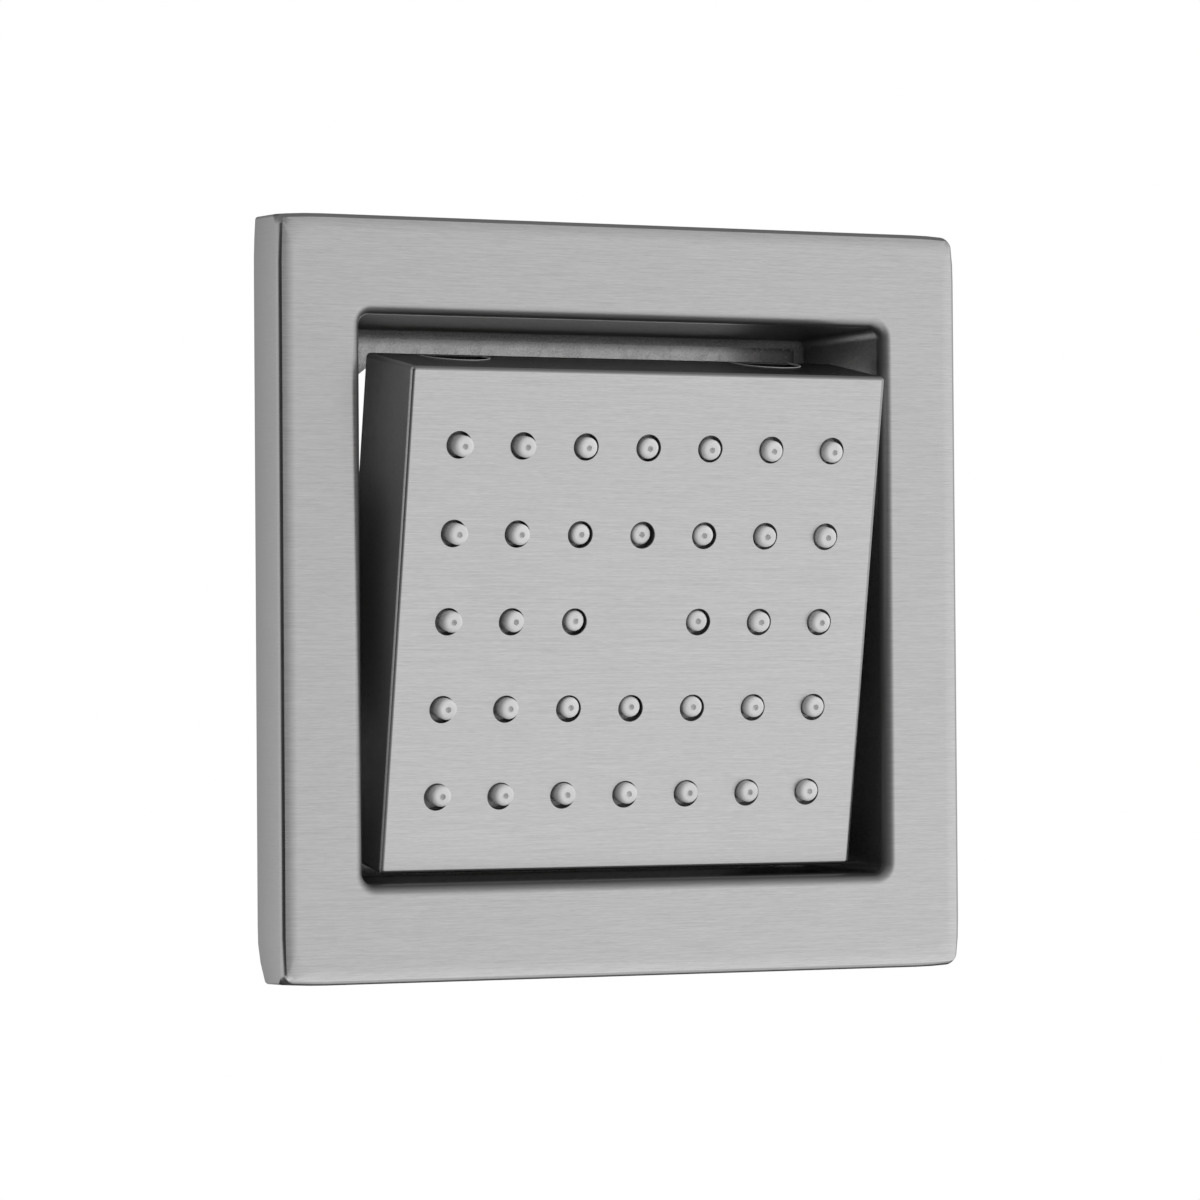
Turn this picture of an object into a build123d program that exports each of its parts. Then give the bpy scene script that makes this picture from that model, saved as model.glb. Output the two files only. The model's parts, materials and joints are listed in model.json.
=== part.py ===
from build123d import *
import os
from math import cos, hypot, radians, sin, sqrt, tan

# Shower body jet: a spray head with soft nozzles, hung on a ball joint in a flush wall frame.
# Millimetres, +Z up. The front looks along -Y, and Y = 0 is the face of the wall.
# Frame depths count from the front of the frame into the wall.
# Head depths count from the front of the spray face backwards, with the head set straight.

# Spray head shell
head_width = 81.8
head_height = 78.8
head_depth = 18.0
head_wall = 2.2
head_corner_r = 1.2
face_thickness = 2.4
face_edge_r = 0.6
face_proud = 2.7
notch_r = 5.6
notch_spacing = 54.6
notch_inset = 2.4
post_round = 2.5

# Nozzles, in rows and columns with none at the centre
columns = 7
rows = 5
nozzle_margin_side = 8.65
nozzle_margin_top = 12.0
hole_r = 2.1
nozzle_r = 1.7
nozzle_reach = 1.45
nozzle_blunt = 0.6
nozzle_bore = 1.0
mat_thickness = 1.6
mat_pitch_loss = 0.1
mat_bow = 2.1
mat_bow_rise = 5.0
plate_thickness = 2.6
plate_slot_width = 3.4

# Water chamber and back cover
seal_thickness = 1.6
seal_width = 3.0
rim_height = 2.8
cover_thickness = 3.0
rib_thickness = 1.6
rib_height = 2.5
fit_gap = 0.25

# Ball joint
ball_r = 8.5
seat_r = 6.0
seal_base = 0.34
ball_gap = 0.1
slip_wall = 2.0
slip_front_gap = 1.3
slip_edge_angle = 57.0
neck_wall = 2.0
neck_length = 8.0
collar_wall = 2.2
collar_length = 12.8
collar_cone = 3.7
collar_front_gap = 0.4
thread_gap = 0.1
collar_sides = 12

# Aim of the head: it rests tilted down, and swings as far to each side
rest_tilt = 10.0
pan_limit = 5.0

# Wall frame and its well
side_gap = 4.4
top_gap = 4.4
border_side = 13.7
border_top = 15.2
frame_depth = 10.0
frame_corner_r = 1.2
frame_edge_r = 1.0
ease_depth = 0.5
ease_length = 8.0
ease_r = 100.0
frame_wall = 2.2
skirt_inner_r = 1.0
front_wall = 2.6
opening_corner_r = 3.6
roll_r = 2.0
well_wall = 2.2
well_draft = 1.0
well_fillet = 3.0
lip_thickness = 4.0
ledge_side = 7.0
ledge_top = 4.5
lip_corner_r = 10.0
gasket_gap = 0.6

# Inlet, strap and fasteners
water_bore_r = 4.2
inlet_neck_r = 5.4
shoulder_gap = 0.8
shoulder_across_flats = 26.0
shoulder_thickness = 2.8
washer_thickness = 1.0
clamp_thread_r = 11.0
strap_thickness = 3.0
nut_side_gap = 1.5
strap_end_gap = 0.8
strap_hole_gap = 0.2
strap_corner_r = 4.0
flange_depth = 8.0
flange_length = 62.0
bend_r = 1.0
nut_across_flats = 28.0
nut_thickness = 6.0
washer_split = 1.0
thread_runout = 1.0
tail_r = 10.478
tail_length = 14.0
tail_chamfer = 1.0
tail_bore_r = 7.0
tail_bore_depth = 10.0
insert_gap = 0.05
limiter_thickness = 4.0
orifice_r = 0.9
orifice_circle_r = 3.0
orifices = 3
screen_thickness = 0.6
screen_rise = 1.6
filter_ring_height = 3.0
filter_ring_wall = 1.6
screw_r = 1.5
screw_gap = 0.05
screw_across_flats = 5.0
screw_head_height = 1.8
screw_bite = 3.0
bridge_screw_spacing = 21.0
spring_washer_thickness = 0.8
cover_screw_bite = 6.0

# Planes that the depths count from
FRAME = -frame_depth
HEAD = -frame_depth - face_proud

# Stack of the head, from the face backwards
mat_back = face_thickness + mat_thickness
plate_back = mat_back + plate_thickness
seal_back = plate_back + seal_thickness
cover_front = seal_back + rim_height
cover_back = cover_front + cover_thickness
socket_r = ball_r + ball_gap
ball_in_head = cover_back + seal_base + sqrt(socket_r**2 - seat_r**2)
slip_r = socket_r + slip_wall
cage_r = slip_r + ball_gap
slip_front = ball_in_head - slip_front_gap
slip_back = ball_in_head + socket_r * cos(radians(slip_edge_angle))
neck_bore_r = cage_r + ball_gap
neck_r = neck_bore_r + neck_wall
neck_back = cover_back + neck_length
seal_cup_r = neck_bore_r - fit_gap
seal_cup_back = slip_front - slip_r * sin(radians(pan_limit)) - ball_gap
collar_bore_r = neck_r + thread_gap
collar_r = collar_bore_r + collar_wall
collar_front = cover_back + collar_front_gap
collar_back = collar_front + collar_length
lip_r = cage_r * sin(radians(slip_edge_angle))
collar_rim_r = lip_r + collar_wall

# Stack behind the ball, from the front of the frame into the wall
ball_depth = ball_in_head - face_proud
swing = radians(hypot(rest_tilt, pan_limit))
collar_reach = (collar_back - ball_in_head) * cos(swing) + collar_rim_r * sin(swing)
shoulder_front = ball_depth + collar_reach + shoulder_gap
shoulder_back = shoulder_front + shoulder_thickness
strap_front = shoulder_back + washer_thickness
strap_back = strap_front + strap_thickness
nut_front = strap_back + washer_thickness
nut_back = nut_front + nut_thickness
tail_front = nut_back + thread_runout
tail_back = tail_front + tail_length
limiter_front = tail_back - tail_bore_depth
well_depth = strap_front - lip_thickness

# Plan sizes of the frame
opening_width = head_width + 2 * side_gap
opening_height = head_height + 2 * top_gap
frame_width = opening_width + 2 * border_side
frame_height = opening_height + 2 * border_top
floor_inset = well_depth * tan(radians(well_draft))
floor_half_width = opening_width / 2 - floor_inset
floor_half_height = opening_height / 2 - floor_inset
lip_half_width = floor_half_width - ledge_side
lip_half_height = floor_half_height - ledge_top
bridge_screw_x = lip_half_width + (ledge_side + well_wall) / 2
screw_hole_r = screw_r + screw_gap
strap_length = 2 * (floor_half_width + well_wall - strap_end_gap)
strap_height = nut_across_flats + 2 * (nut_side_gap + strap_thickness)

# Places that repeat
inner_half_width = head_width / 2 - head_wall
inner_half_height = head_height / 2 - head_wall
post_side = 2 * (screw_across_flats / sqrt(3) + fit_gap)
post_x = inner_half_width - post_side / 2
post_z = inner_half_height - post_side / 2
column_pitch = (head_width - 2 * nozzle_margin_side) / (columns - 1)
row_pitch = (head_height - 2 * nozzle_margin_top) / (rows - 1)
four_corners = [(-1, -1), (-1, 1), (1, -1), (1, 1)]


def front_plane(zero, depth):
    """Plane across the jet's axis, drawn on as seen from the front."""
    return Plane(origin=(0, zero + depth, 0), x_dir=(1, 0, 0), z_dir=(0, -1, 0))


def prism(outline, zero, front, back):
    """Outline extruded between two depths."""
    return extrude(front_plane(zero, back) * outline, amount=back - front)


def section(zero, *points):
    """Closed half section of (radius, depth) points, to be turned about the jet's axis."""
    corners = [(radius, zero + depth) for radius, depth in points]
    return make_face(Polyline(*corners, close=True))


def band(zero, inner_r, outer_r, front, back):
    """Half section of a plain ring."""
    return section(zero, (inner_r, front), (outer_r, front), (outer_r, back), (inner_r, back))


def ball_section(radius):
    """Circle about the centre of the ball joint, to be cut from half sections."""
    return Pos(0, FRAME + ball_depth) * Circle(radius)


def turned(half_section):
    """Half section turned about the jet's axis."""
    return revolve(half_section, Axis.Y)


def hexagon(across_flats):
    """Outline of a nut or spanner shoulder."""
    return RegularPolygon(across_flats / 2, 6, major_radius=False)


def nozzle_places(pitch_x, pitch_z):
    """Nozzle centres in rows and columns, with none in the middle of the face."""
    places = []
    for row in range(rows):
        for column in range(columns):
            x = (column - (columns - 1) / 2) * pitch_x
            z = (row - (rows - 1) / 2) * pitch_z
            if hypot(x, z) > hole_r:
                places.append((x, z))
    return places


def corner_blocks(grow):
    """Rounded squares at the inner corners of the shell, for its posts and what fits round them."""
    side = 2 * (post_side + grow)
    block = RectangleRounded(side, side, post_round + grow)
    places = [(sx * inner_half_width, sz * inner_half_height) for sx, sz in four_corners]
    return Sketch() + [Pos(x, z) * block for x, z in places]


def chamber_outline(gap):
    """Outline that lies inside the shell, notched round its posts."""
    outline = Rectangle(2 * (inner_half_width - gap), 2 * (inner_half_height - gap))
    return outline - corner_blocks(gap)


def hexagon_screw(zero, seat, shank):
    """Screw whose hexagon head sits behind a seat, with its shank going forwards."""
    head = prism(hexagon(screw_across_flats), zero, seat, seat + screw_head_height)
    return head + prism(Circle(screw_r), zero, seat - shank, seat)


def spray_face():
    """Shell of the head: pierced face, side walls, screw posts and two notches in the top wall."""
    shell = prism(RectangleRounded(head_width, head_height, head_corner_r), HEAD, 0, head_depth)
    shell = fillet(shell.faces().sort_by(Axis.Y)[0].edges(), face_edge_r)
    inside = Rectangle(2 * inner_half_width, 2 * inner_half_height)
    shell -= prism(inside, HEAD, face_thickness, head_depth)
    into_walls = Rectangle(head_width - head_wall, head_height - head_wall)
    shell += prism(corner_blocks(0) & into_walls, HEAD, face_thickness, cover_front)
    holes = Sketch() + [Pos(x, z) * Circle(hole_r) for x, z in nozzle_places(column_pitch, row_pitch)]
    shell -= prism(holes, HEAD, 0, face_thickness)
    pilot = Sketch() + [Pos(sx * post_x, sz * post_z) * Circle(screw_hole_r) for sx, sz in four_corners]
    shell -= prism(pilot, HEAD, cover_front - cover_screw_bite, cover_front)
    notch_y = HEAD + head_depth - notch_inset
    for side in (-1, 1):
        place = Pos(side * notch_spacing / 2, notch_y, head_height / 2)
        shell -= place * Cylinder(notch_r, 2 * head_wall)
    return shell


def reach_at(x, z):
    """How far a nozzle stands out of the face: less towards the middle, where the mat bows back."""
    across = x / (column_pitch * (columns - 1) / 2)
    upright = (z - mat_bow_rise) / (row_pitch * (rows - 1) / 2 + mat_bow_rise)
    return nozzle_reach - mat_bow * max(0, 1 - across**2) * max(0, 1 - upright**2)


def nozzle(reach):
    """Nozzle on the jet's axis, from the sheet of the mat to its blunt tip."""
    return turned(
        section(
            HEAD,
            (0, -reach),
            (nozzle_r - nozzle_blunt, -reach),
            (nozzle_r, nozzle_blunt - reach),
            (nozzle_r, face_thickness),
            (0, face_thickness),
        )
    )


def nozzle_mat():
    """One moulded mat: a sheet behind the face with a bored nozzle through each hole."""
    mat = prism(chamber_outline(fit_gap), HEAD, face_thickness, mat_back)
    places = nozzle_places(column_pitch - mat_pitch_loss, row_pitch - mat_pitch_loss)
    bores = Sketch() + [Pos(x, z) * hexagon(nozzle_bore) for x, z in places]
    mat += [Pos(x, 0, z) * nozzle(reach_at(x, z)) for x, z in places]
    return mat - prism(bores, HEAD, -nozzle_reach, mat_back)


def nozzle_plate():
    """Plate that presses the mat on the face, with a slot behind each row of nozzles."""
    plate = prism(chamber_outline(fit_gap), HEAD, mat_back, plate_back)
    slot_length = (columns - 1) * column_pitch + plate_slot_width
    for row in range(rows):
        z = (row - (rows - 1) / 2) * row_pitch
        plate -= prism(Pos(0, z) * SlotOverall(slot_length, plate_slot_width), HEAD, mat_back, plate_back)
    return plate


def chamber_seal():
    """Gasket between nozzle plate and back cover."""
    band = chamber_outline(fit_gap) - chamber_outline(fit_gap + seal_width)
    return prism(band, HEAD, plate_back, seal_back)


def back_cover():
    """Rear wall of the water chamber, with its rim, ribs and the threaded socket neck."""
    rim = chamber_outline(fit_gap) - chamber_outline(fit_gap + seal_width)
    plate = Rectangle(2 * (inner_half_width - fit_gap), 2 * (inner_half_height - fit_gap))
    cover = prism(rim, HEAD, seal_back, cover_front)
    cover += prism(plate, HEAD, cover_front, cover_back)
    cover += prism(Circle(neck_r), HEAD, cover_back, neck_back)
    cover -= prism(Circle(neck_bore_r), HEAD, cover_back, neck_back)
    cover -= prism(Circle(seat_r), HEAD, cover_front, cover_back)
    holes = Sketch() + [Pos(sx * post_x, sz * post_z) * Circle(screw_hole_r) for sx, sz in four_corners]
    cover -= prism(holes, HEAD, cover_front, cover_back)
    rib_start = collar_r + rib_thickness
    diagonal = hypot(post_x, post_z) - screw_across_flats
    for angle, end in ((0, post_x), (45, diagonal), (90, post_z), (135, diagonal)):
        for turn in (angle, angle + 180):
            rib = Pos((rib_start + end) / 2, 0) * Rectangle(end - rib_start, rib_thickness)
            cover += prism(Rot(0, 0, turn) * rib, HEAD, cover_back, cover_back + rib_height)
    return cover


def ball_seal():
    """Rubber cup between the ball and the floor of the socket."""
    cup = band(HEAD, seat_r, seal_cup_r, cover_back, seal_cup_back)
    return turned(cup - ball_section(socket_r))


def slip_ring():
    """Ring with spherical faces that rides on the back of the ball."""
    crescent = ball_section(slip_r) - ball_section(socket_r)
    return turned(crescent & band(HEAD, 0, slip_r, slip_front, slip_back))


def collar_nut():
    """Many-sided nut with a spherical seat, which holds the slip ring and ball in the socket."""
    shoulder = neck_back + fit_gap
    nut = turned(
        section(
            HEAD,
            (collar_bore_r, collar_front),
            (collar_r, collar_front),
            (collar_r, collar_back - collar_cone),
            (collar_rim_r, collar_back),
            (lip_r, collar_back),
            (lip_r, shoulder),
            (collar_bore_r, shoulder),
        )
        - ball_section(cage_r)
    )
    grip = RegularPolygon(collar_r, collar_sides)
    return nut & prism(grip, HEAD, collar_front, collar_back)


def cover_screws():
    """Four screws through the back cover into the posts."""
    screw = hexagon_screw(HEAD, cover_back, cover_thickness + cover_screw_bite)
    return [Pos(sx * post_x, 0, sz * post_z) * screw for sx, sz in four_corners]


def well_form(wall, depth):
    """Drafted box of the well, grown by a wall and carried to a depth."""
    width = opening_width + 2 * wall
    height = opening_height + 2 * wall
    outline = RectangleRounded(width, height, opening_corner_r + wall)
    return extrude(front_plane(FRAME, 0) * outline, amount=-depth, taper=well_draft)


def frame_outline():
    """Outline of the flange, whose sides draw in a little towards its small round corners."""
    half_width = frame_width / 2
    half_height = frame_height / 2
    points = []
    for sx, sz in ((1, 1), (-1, 1), (-1, -1), (1, -1)):
        corner = [
            (sx * half_width, sz * (half_height - ease_length)),
            (sx * (half_width - ease_depth), sz * (half_height - ease_depth)),
            (sx * (half_width - ease_length), sz * half_height),
        ]
        points += corner if sx == sz else reversed(corner)
    radii = [ease_r, frame_corner_r, ease_r] * len(four_corners)
    return make_face(FilletPolyline(*points, radius=radii, close=True))


def wall_frame():
    """Cast frame: hollow flange, rolled opening, drafted well and the lip round its open back."""
    flange = prism(frame_outline(), FRAME, 0, frame_depth)
    flange = fillet(flange.faces().sort_by(Axis.Y)[0].edges(), frame_edge_r)
    hollow_width = frame_width - 2 * frame_wall
    hollow_height = frame_height - 2 * frame_wall
    hollow = RectangleRounded(hollow_width, hollow_height, skirt_inner_r)
    flange -= prism(hollow, FRAME, front_wall, frame_depth)
    cavity = well_form(0, well_depth)
    cavity = fillet(cavity.faces().sort_by(Axis.Y)[-1].edges(), well_fillet)
    frame = flange + well_form(well_wall, strap_front) - cavity
    lip = RectangleRounded(2 * lip_half_width, 2 * lip_half_height, lip_corner_r)
    frame -= prism(lip, FRAME, well_depth - 2 * well_fillet, strap_front)
    places = [(sx * bridge_screw_x, sz * bridge_screw_spacing / 2) for sx, sz in four_corners]
    holes = Sketch() + [Pos(x, z) * Circle(screw_hole_r) for x, z in places]
    frame -= prism(holes, FRAME, strap_front - screw_bite, strap_front)
    front_face = frame.faces().sort_by(Axis.Y)[0]
    return fillet(front_face.inner_wires()[0].edges(), roll_r)


def wall_gasket():
    """Foam ring in the hollow of the flange, pressed flush with the wall."""
    inset = 2 * (frame_wall + gasket_gap)
    outer = RectangleRounded(frame_width - inset, frame_height - inset, skirt_inner_r)
    grow = 2 * (well_wall + gasket_gap)
    inner = RectangleRounded(opening_width + grow, opening_height + grow, opening_corner_r + well_wall)
    return prism(outer - inner, FRAME, front_wall, frame_depth)


def bridge_strap():
    """Steel strap across the back of the well, with folded flanges between its ends."""
    strap = prism(RectangleRounded(strap_length, strap_height, strap_corner_r), FRAME, strap_front, strap_back)
    channel = prism(Rectangle(flange_length, strap_height), FRAME, strap_front, strap_front + flange_depth)
    inside = Rectangle(flange_length, strap_height - 2 * strap_thickness)
    trough = prism(inside, FRAME, strap_back, strap_front + flange_depth)
    trough_front = trough.faces().sort_by(Axis.Y)[0]
    trough = fillet(trough_front.edges().filter_by(Axis.X), bend_r)
    strap += channel - trough
    strap -= prism(Circle(clamp_thread_r + strap_hole_gap), FRAME, strap_front, strap_back)
    places = [(sx * bridge_screw_x, sz * bridge_screw_spacing / 2) for sx, sz in four_corners]
    holes = Sketch() + [Pos(x, z) * Circle(screw_hole_r) for x, z in places]
    return strap - prism(holes, FRAME, strap_front, strap_back)


def bridge_screws():
    """Four screws that hold the strap to the lip of the frame."""
    grip = spring_washer_thickness + strap_thickness
    screw = hexagon_screw(FRAME, strap_back + spring_washer_thickness, grip + screw_bite)
    half = bridge_screw_spacing / 2
    return [Pos(sx * bridge_screw_x, 0, sz * half) * screw for sx, sz in four_corners]


def screw_washers():
    """Four washers under the heads of the strap's screws."""
    back = strap_back + spring_washer_thickness
    washer = turned(band(FRAME, screw_hole_r, screw_across_flats / 2, strap_back, back))
    half = bridge_screw_spacing / 2
    return [Pos(sx * bridge_screw_x, 0, sz * half) * washer for sx, sz in four_corners]


def ball_inlet():
    """Turned ball with its neck, spanner shoulder, clamp thread and half-inch tail, bored for water."""
    ball_front = ball_depth - ball_r
    flare = shoulder_thickness / 2
    stem = section(
        FRAME,
        (water_bore_r, ball_depth),
        (inlet_neck_r, ball_depth),
        (inlet_neck_r, shoulder_front - flare),
        (inlet_neck_r + flare, shoulder_front),
        (clamp_thread_r, shoulder_front),
        (clamp_thread_r, nut_back),
        (tail_r, tail_front),
        (tail_r, tail_back - tail_chamfer),
        (tail_r - tail_chamfer, tail_back),
        (tail_bore_r, tail_back),
        (tail_bore_r, limiter_front),
        (water_bore_r, limiter_front),
    )
    half_ball = ball_section(ball_r) & band(FRAME, water_bore_r, ball_r, ball_front, ball_depth + ball_r)
    shoulder = hexagon(shoulder_across_flats) - Circle(water_bore_r)
    return turned(half_ball + stem) + prism(shoulder, FRAME, shoulder_front, shoulder_back)


def shoulder_washer():
    """Fibre washer between the spanner shoulder and the strap."""
    inner_r = clamp_thread_r + screw_gap
    return turned(band(FRAME, inner_r, shoulder_across_flats / 2, shoulder_back, strap_front))


def lock_washer():
    """Split spring washer behind the strap."""
    outer_r = nut_across_flats / 2
    washer = Circle(outer_r) - Circle(clamp_thread_r + screw_gap)
    washer -= Pos(outer_r, 0) * Rectangle(outer_r, washer_split)
    return prism(washer, FRAME, strap_back, nut_front)


def inlet_lock_nut():
    """Hexagon nut that clamps the inlet to the strap, with its back corners turned off."""
    nut = prism(hexagon(nut_across_flats), FRAME, nut_front, nut_back)
    across_corners_r = nut_across_flats / sqrt(3)
    flat_r = nut_across_flats / 2
    corner_fall = (across_corners_r - flat_r) * tan(radians(30))
    crown = turned(
        section(
            FRAME,
            (clamp_thread_r + screw_gap, nut_front),
            (across_corners_r, nut_front),
            (across_corners_r, nut_back - corner_fall),
            (flat_r, nut_back),
            (clamp_thread_r + screw_gap, nut_back),
        )
    )
    return nut & crown


def flow_limiter():
    """Insert with a ring of small orifices, seated on the step in the tail."""
    disc = Circle(tail_bore_r - insert_gap)
    for turn in range(orifices):
        disc -= Rot(0, 0, 360 / orifices * turn) * Pos(orifice_circle_r, 0) * Circle(orifice_r)
    return prism(disc, FRAME, limiter_front, limiter_front + limiter_thickness)


def filter_screen():
    """Fine mesh screen, pressed to a shallow cone over the limiter."""
    rim = limiter_front + limiter_thickness
    rim_r = tail_bore_r - insert_gap
    cone_r = rim_r - filter_ring_wall
    return turned(
        section(
            FRAME,
            (0, rim + screen_rise),
            (cone_r, rim),
            (rim_r, rim),
            (rim_r, rim + screen_thickness),
            (cone_r, rim + screen_thickness),
            (0, rim + screen_thickness + screen_rise),
        )
    )


def filter_ring():
    """Rubber ring that holds the screen in the mouth of the tail."""
    outer_r = tail_bore_r - insert_gap
    front = limiter_front + limiter_thickness + screen_thickness
    return turned(band(FRAME, outer_r - filter_ring_wall, outer_r, front, front + filter_ring_height))


fixed_nodes = [
    wall_frame,
    wall_gasket,
    bridge_strap,
    bridge_screws,
    screw_washers,
    ball_inlet,
    shoulder_washer,
    lock_washer,
    inlet_lock_nut,
    flow_limiter,
    filter_screen,
    filter_ring,
]
tilting_nodes = [
    slip_ring,
    spray_face,
    nozzle_mat,
    nozzle_plate,
    chamber_seal,
    back_cover,
    ball_seal,
    collar_nut,
    cover_screws,
]


def save(maker, pose):
    """Write one node, its solids set in a pose, to a file of its own."""
    made = maker()
    pieces = made if isinstance(made, list) else [made]
    solids = [solid for piece in pieces for solid in (pose * piece).solids()]
    node = solids[0] if len(solids) == 1 else Compound(children=solids)
    node.label = maker.__name__
    export_step(node, f"parts/{maker.__name__}.step")


os.makedirs("parts", exist_ok=True)
ball_y = FRAME + ball_depth
rest_pose = Pos(0, ball_y, 0) * Rot(rest_tilt, 0, 0) * Pos(0, -ball_y, 0)
for maker in fixed_nodes:
    save(maker, Pos(0, 0, 0))
for maker in tilting_nodes:
    save(maker, rest_pose)
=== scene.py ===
# %% [markdown]
# # Shower body jet
# A flush, square jet for a shower wall: a brushed metal frame with a deep, rolled-edge well, and a spray
# head in it that hangs on a ball joint and is aimed a little downwards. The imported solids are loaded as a
# fixed frame. Each visible piece is then modelled again with soft edges and a finish of its own, in metres
# and in the same place, and what lies hidden keeps its solid and gets a finish.

# %% Load the frame
import json
import math
from collections import namedtuple

import bmesh
import bpy
from mathutils import Matrix, Vector, noise


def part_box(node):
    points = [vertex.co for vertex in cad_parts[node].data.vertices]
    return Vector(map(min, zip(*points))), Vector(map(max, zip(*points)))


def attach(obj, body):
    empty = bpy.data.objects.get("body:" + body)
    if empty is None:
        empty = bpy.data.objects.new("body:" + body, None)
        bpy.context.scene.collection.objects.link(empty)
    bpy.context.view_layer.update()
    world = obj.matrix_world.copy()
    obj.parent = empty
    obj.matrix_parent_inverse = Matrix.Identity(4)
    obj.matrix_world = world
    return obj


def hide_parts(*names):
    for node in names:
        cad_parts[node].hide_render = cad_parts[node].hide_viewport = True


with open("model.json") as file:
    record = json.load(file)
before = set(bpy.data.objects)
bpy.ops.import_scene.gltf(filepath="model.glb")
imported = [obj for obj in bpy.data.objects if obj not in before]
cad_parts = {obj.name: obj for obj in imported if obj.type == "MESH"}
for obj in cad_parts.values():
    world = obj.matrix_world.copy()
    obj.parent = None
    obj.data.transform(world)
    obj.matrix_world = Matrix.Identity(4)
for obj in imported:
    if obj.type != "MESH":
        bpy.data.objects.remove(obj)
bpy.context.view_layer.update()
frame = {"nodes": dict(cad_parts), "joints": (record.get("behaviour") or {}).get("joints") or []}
mm = 0.001
merge_distance = 0.001 * mm
full_turn = 2 * math.pi

# %% [markdown]
# ## The camera
# The jet is seen from its left and from a little below, through a long lens that hardly narrows the far
# side. A camera can be aimed by hand until the edges agree, or its place can be worked out from a few
# angles. The angles are used here, because each of them can then be read and changed by itself.

# %% Camera
frame_low, frame_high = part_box("wall_frame")
frame_front = frame_low.y
view_yaw = math.radians(25.56)
view_pitch = math.radians(-1.19)
view_roll = math.radians(-0.41)
view_distance = 812.9 * mm
view_target = Vector((-5.17 * mm, frame_front, -0.09 * mm))
picture_pixels = 1200
focal_pixels = 5200
sensor_width = 36.0
nearest_seen = 0.01

towards_camera = Vector((
    -math.sin(view_yaw) * math.cos(view_pitch),
    -math.cos(view_yaw) * math.cos(view_pitch),
    math.sin(view_pitch),
))
camera_data = bpy.data.cameras.new("camera")
camera_data.sensor_width = sensor_width
camera_data.lens = focal_pixels * sensor_width / picture_pixels
camera_data.clip_start = nearest_seen
camera = bpy.data.objects.new("camera", camera_data)
upright = towards_camera.to_track_quat("Z", "Y").to_matrix().to_4x4()
place = Matrix.Translation(view_target + view_distance * towards_camera)
camera.matrix_world = place @ upright @ Matrix.Rotation(view_roll, 4, "Z")
bpy.context.scene.collection.objects.link(camera)
bpy.context.scene.camera = camera
bpy.context.scene.view_settings.view_transform = "Standard"
print("camera at", [round(v, 3) for v in camera.matrix_world.translation], "lens", camera_data.lens)

# %% [markdown]
# ## Light
# Satin metal shows the room around it rather than its own colour, so the room is the main light: white all
# round, dim overhead, with one black flag at the camera's left. A photographer puts a flag there to draw
# dark lines along the rounded edges. It ends beside the jet, so that the side of the frame still shows
# white. Lamps could make the same white, but a lamp adds to the room behind it in a reflection, so the one
# soft box here lights only what is dull, such as the soft nozzles.

# %% Node helpers
def give(tree, value, socket):
    """Links a socket to another one, or sets it to a constant."""
    if isinstance(value, bpy.types.NodeSocket):
        tree.links.new(value, socket)
    else:
        socket.default_value = value


def operator_node(tree, kind, operation, values):
    """Node that works something out from sockets or constants."""
    node = tree.nodes.new(kind)
    node.operation = operation
    for value, socket in zip(values, node.inputs):
        give(tree, value, socket)
    return node


def math_node(tree, operation, *values):
    """Result of a calculation with numbers."""
    return operator_node(tree, "ShaderNodeMath", operation, values).outputs[0]


def vector_node(tree, operation, *values):
    """Result of a calculation with vectors: a number for a dot product, and otherwise a vector."""
    node = operator_node(tree, "ShaderNodeVectorMath", operation, values)
    return node.outputs["Value" if operation == "DOT_PRODUCT" else "Vector"]


def range_node(tree, value, start, end, low, high, course="LINEAR"):
    """Carries a value from one range to another, and holds it at the ends."""
    node = tree.nodes.new("ShaderNodeMapRange")
    node.interpolation_type = course
    names = ("Value", "From Min", "From Max", "To Min", "To Max")
    for name, given in zip(names, (value, start, end, low, high)):
        give(tree, given, node.inputs[name])
    return node.outputs["Result"]


print("node helpers ready")

# %% Room
white = (1.0, 1.0, 1.0, 1.0)
upwards = (0.0, 0.0, 1.0)
room_fill = 0.4
flag_side = Vector((-0.7, -0.7, 0.0)).normalized()
flag_inside = 0.87
flag_outside = 0.24
flag_level = 0.04
flag_squash = (1.0, 1.0, 2.6)
flag_edge = Vector((-0.13, 0.99, 0.0)).normalized()
flag_edge_soft = 0.2
overhead_starts = -0.14
overhead_full = 0.85
overhead_level = 0.3


def mirrored_room(tree):
    """Brightness of the room in a reflection, for every direction."""
    direction = tree.nodes.new("ShaderNodeTexCoord").outputs["Generated"]
    squashed = vector_node(tree, "NORMALIZE", vector_node(tree, "MULTIPLY", direction, flag_squash))
    towards_flag = vector_node(tree, "DOT_PRODUCT", squashed, flag_side)
    flag = range_node(tree, towards_flag, flag_outside, flag_inside, 1.0, flag_level, "SMOOTHSTEP")
    past_edge = vector_node(tree, "DOT_PRODUCT", squashed, flag_edge)
    beside = range_node(tree, past_edge, flag_edge_soft, -flag_edge_soft, 1.0, 0.0, "SMOOTHSTEP")
    height = vector_node(tree, "DOT_PRODUCT", direction, upwards)
    overhead = range_node(tree, height, overhead_starts, overhead_full, 1.0, overhead_level, "SMOOTHSTEP")
    return math_node(tree, "MULTIPLY", math_node(tree, "MAXIMUM", flag, beside), overhead)


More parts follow.
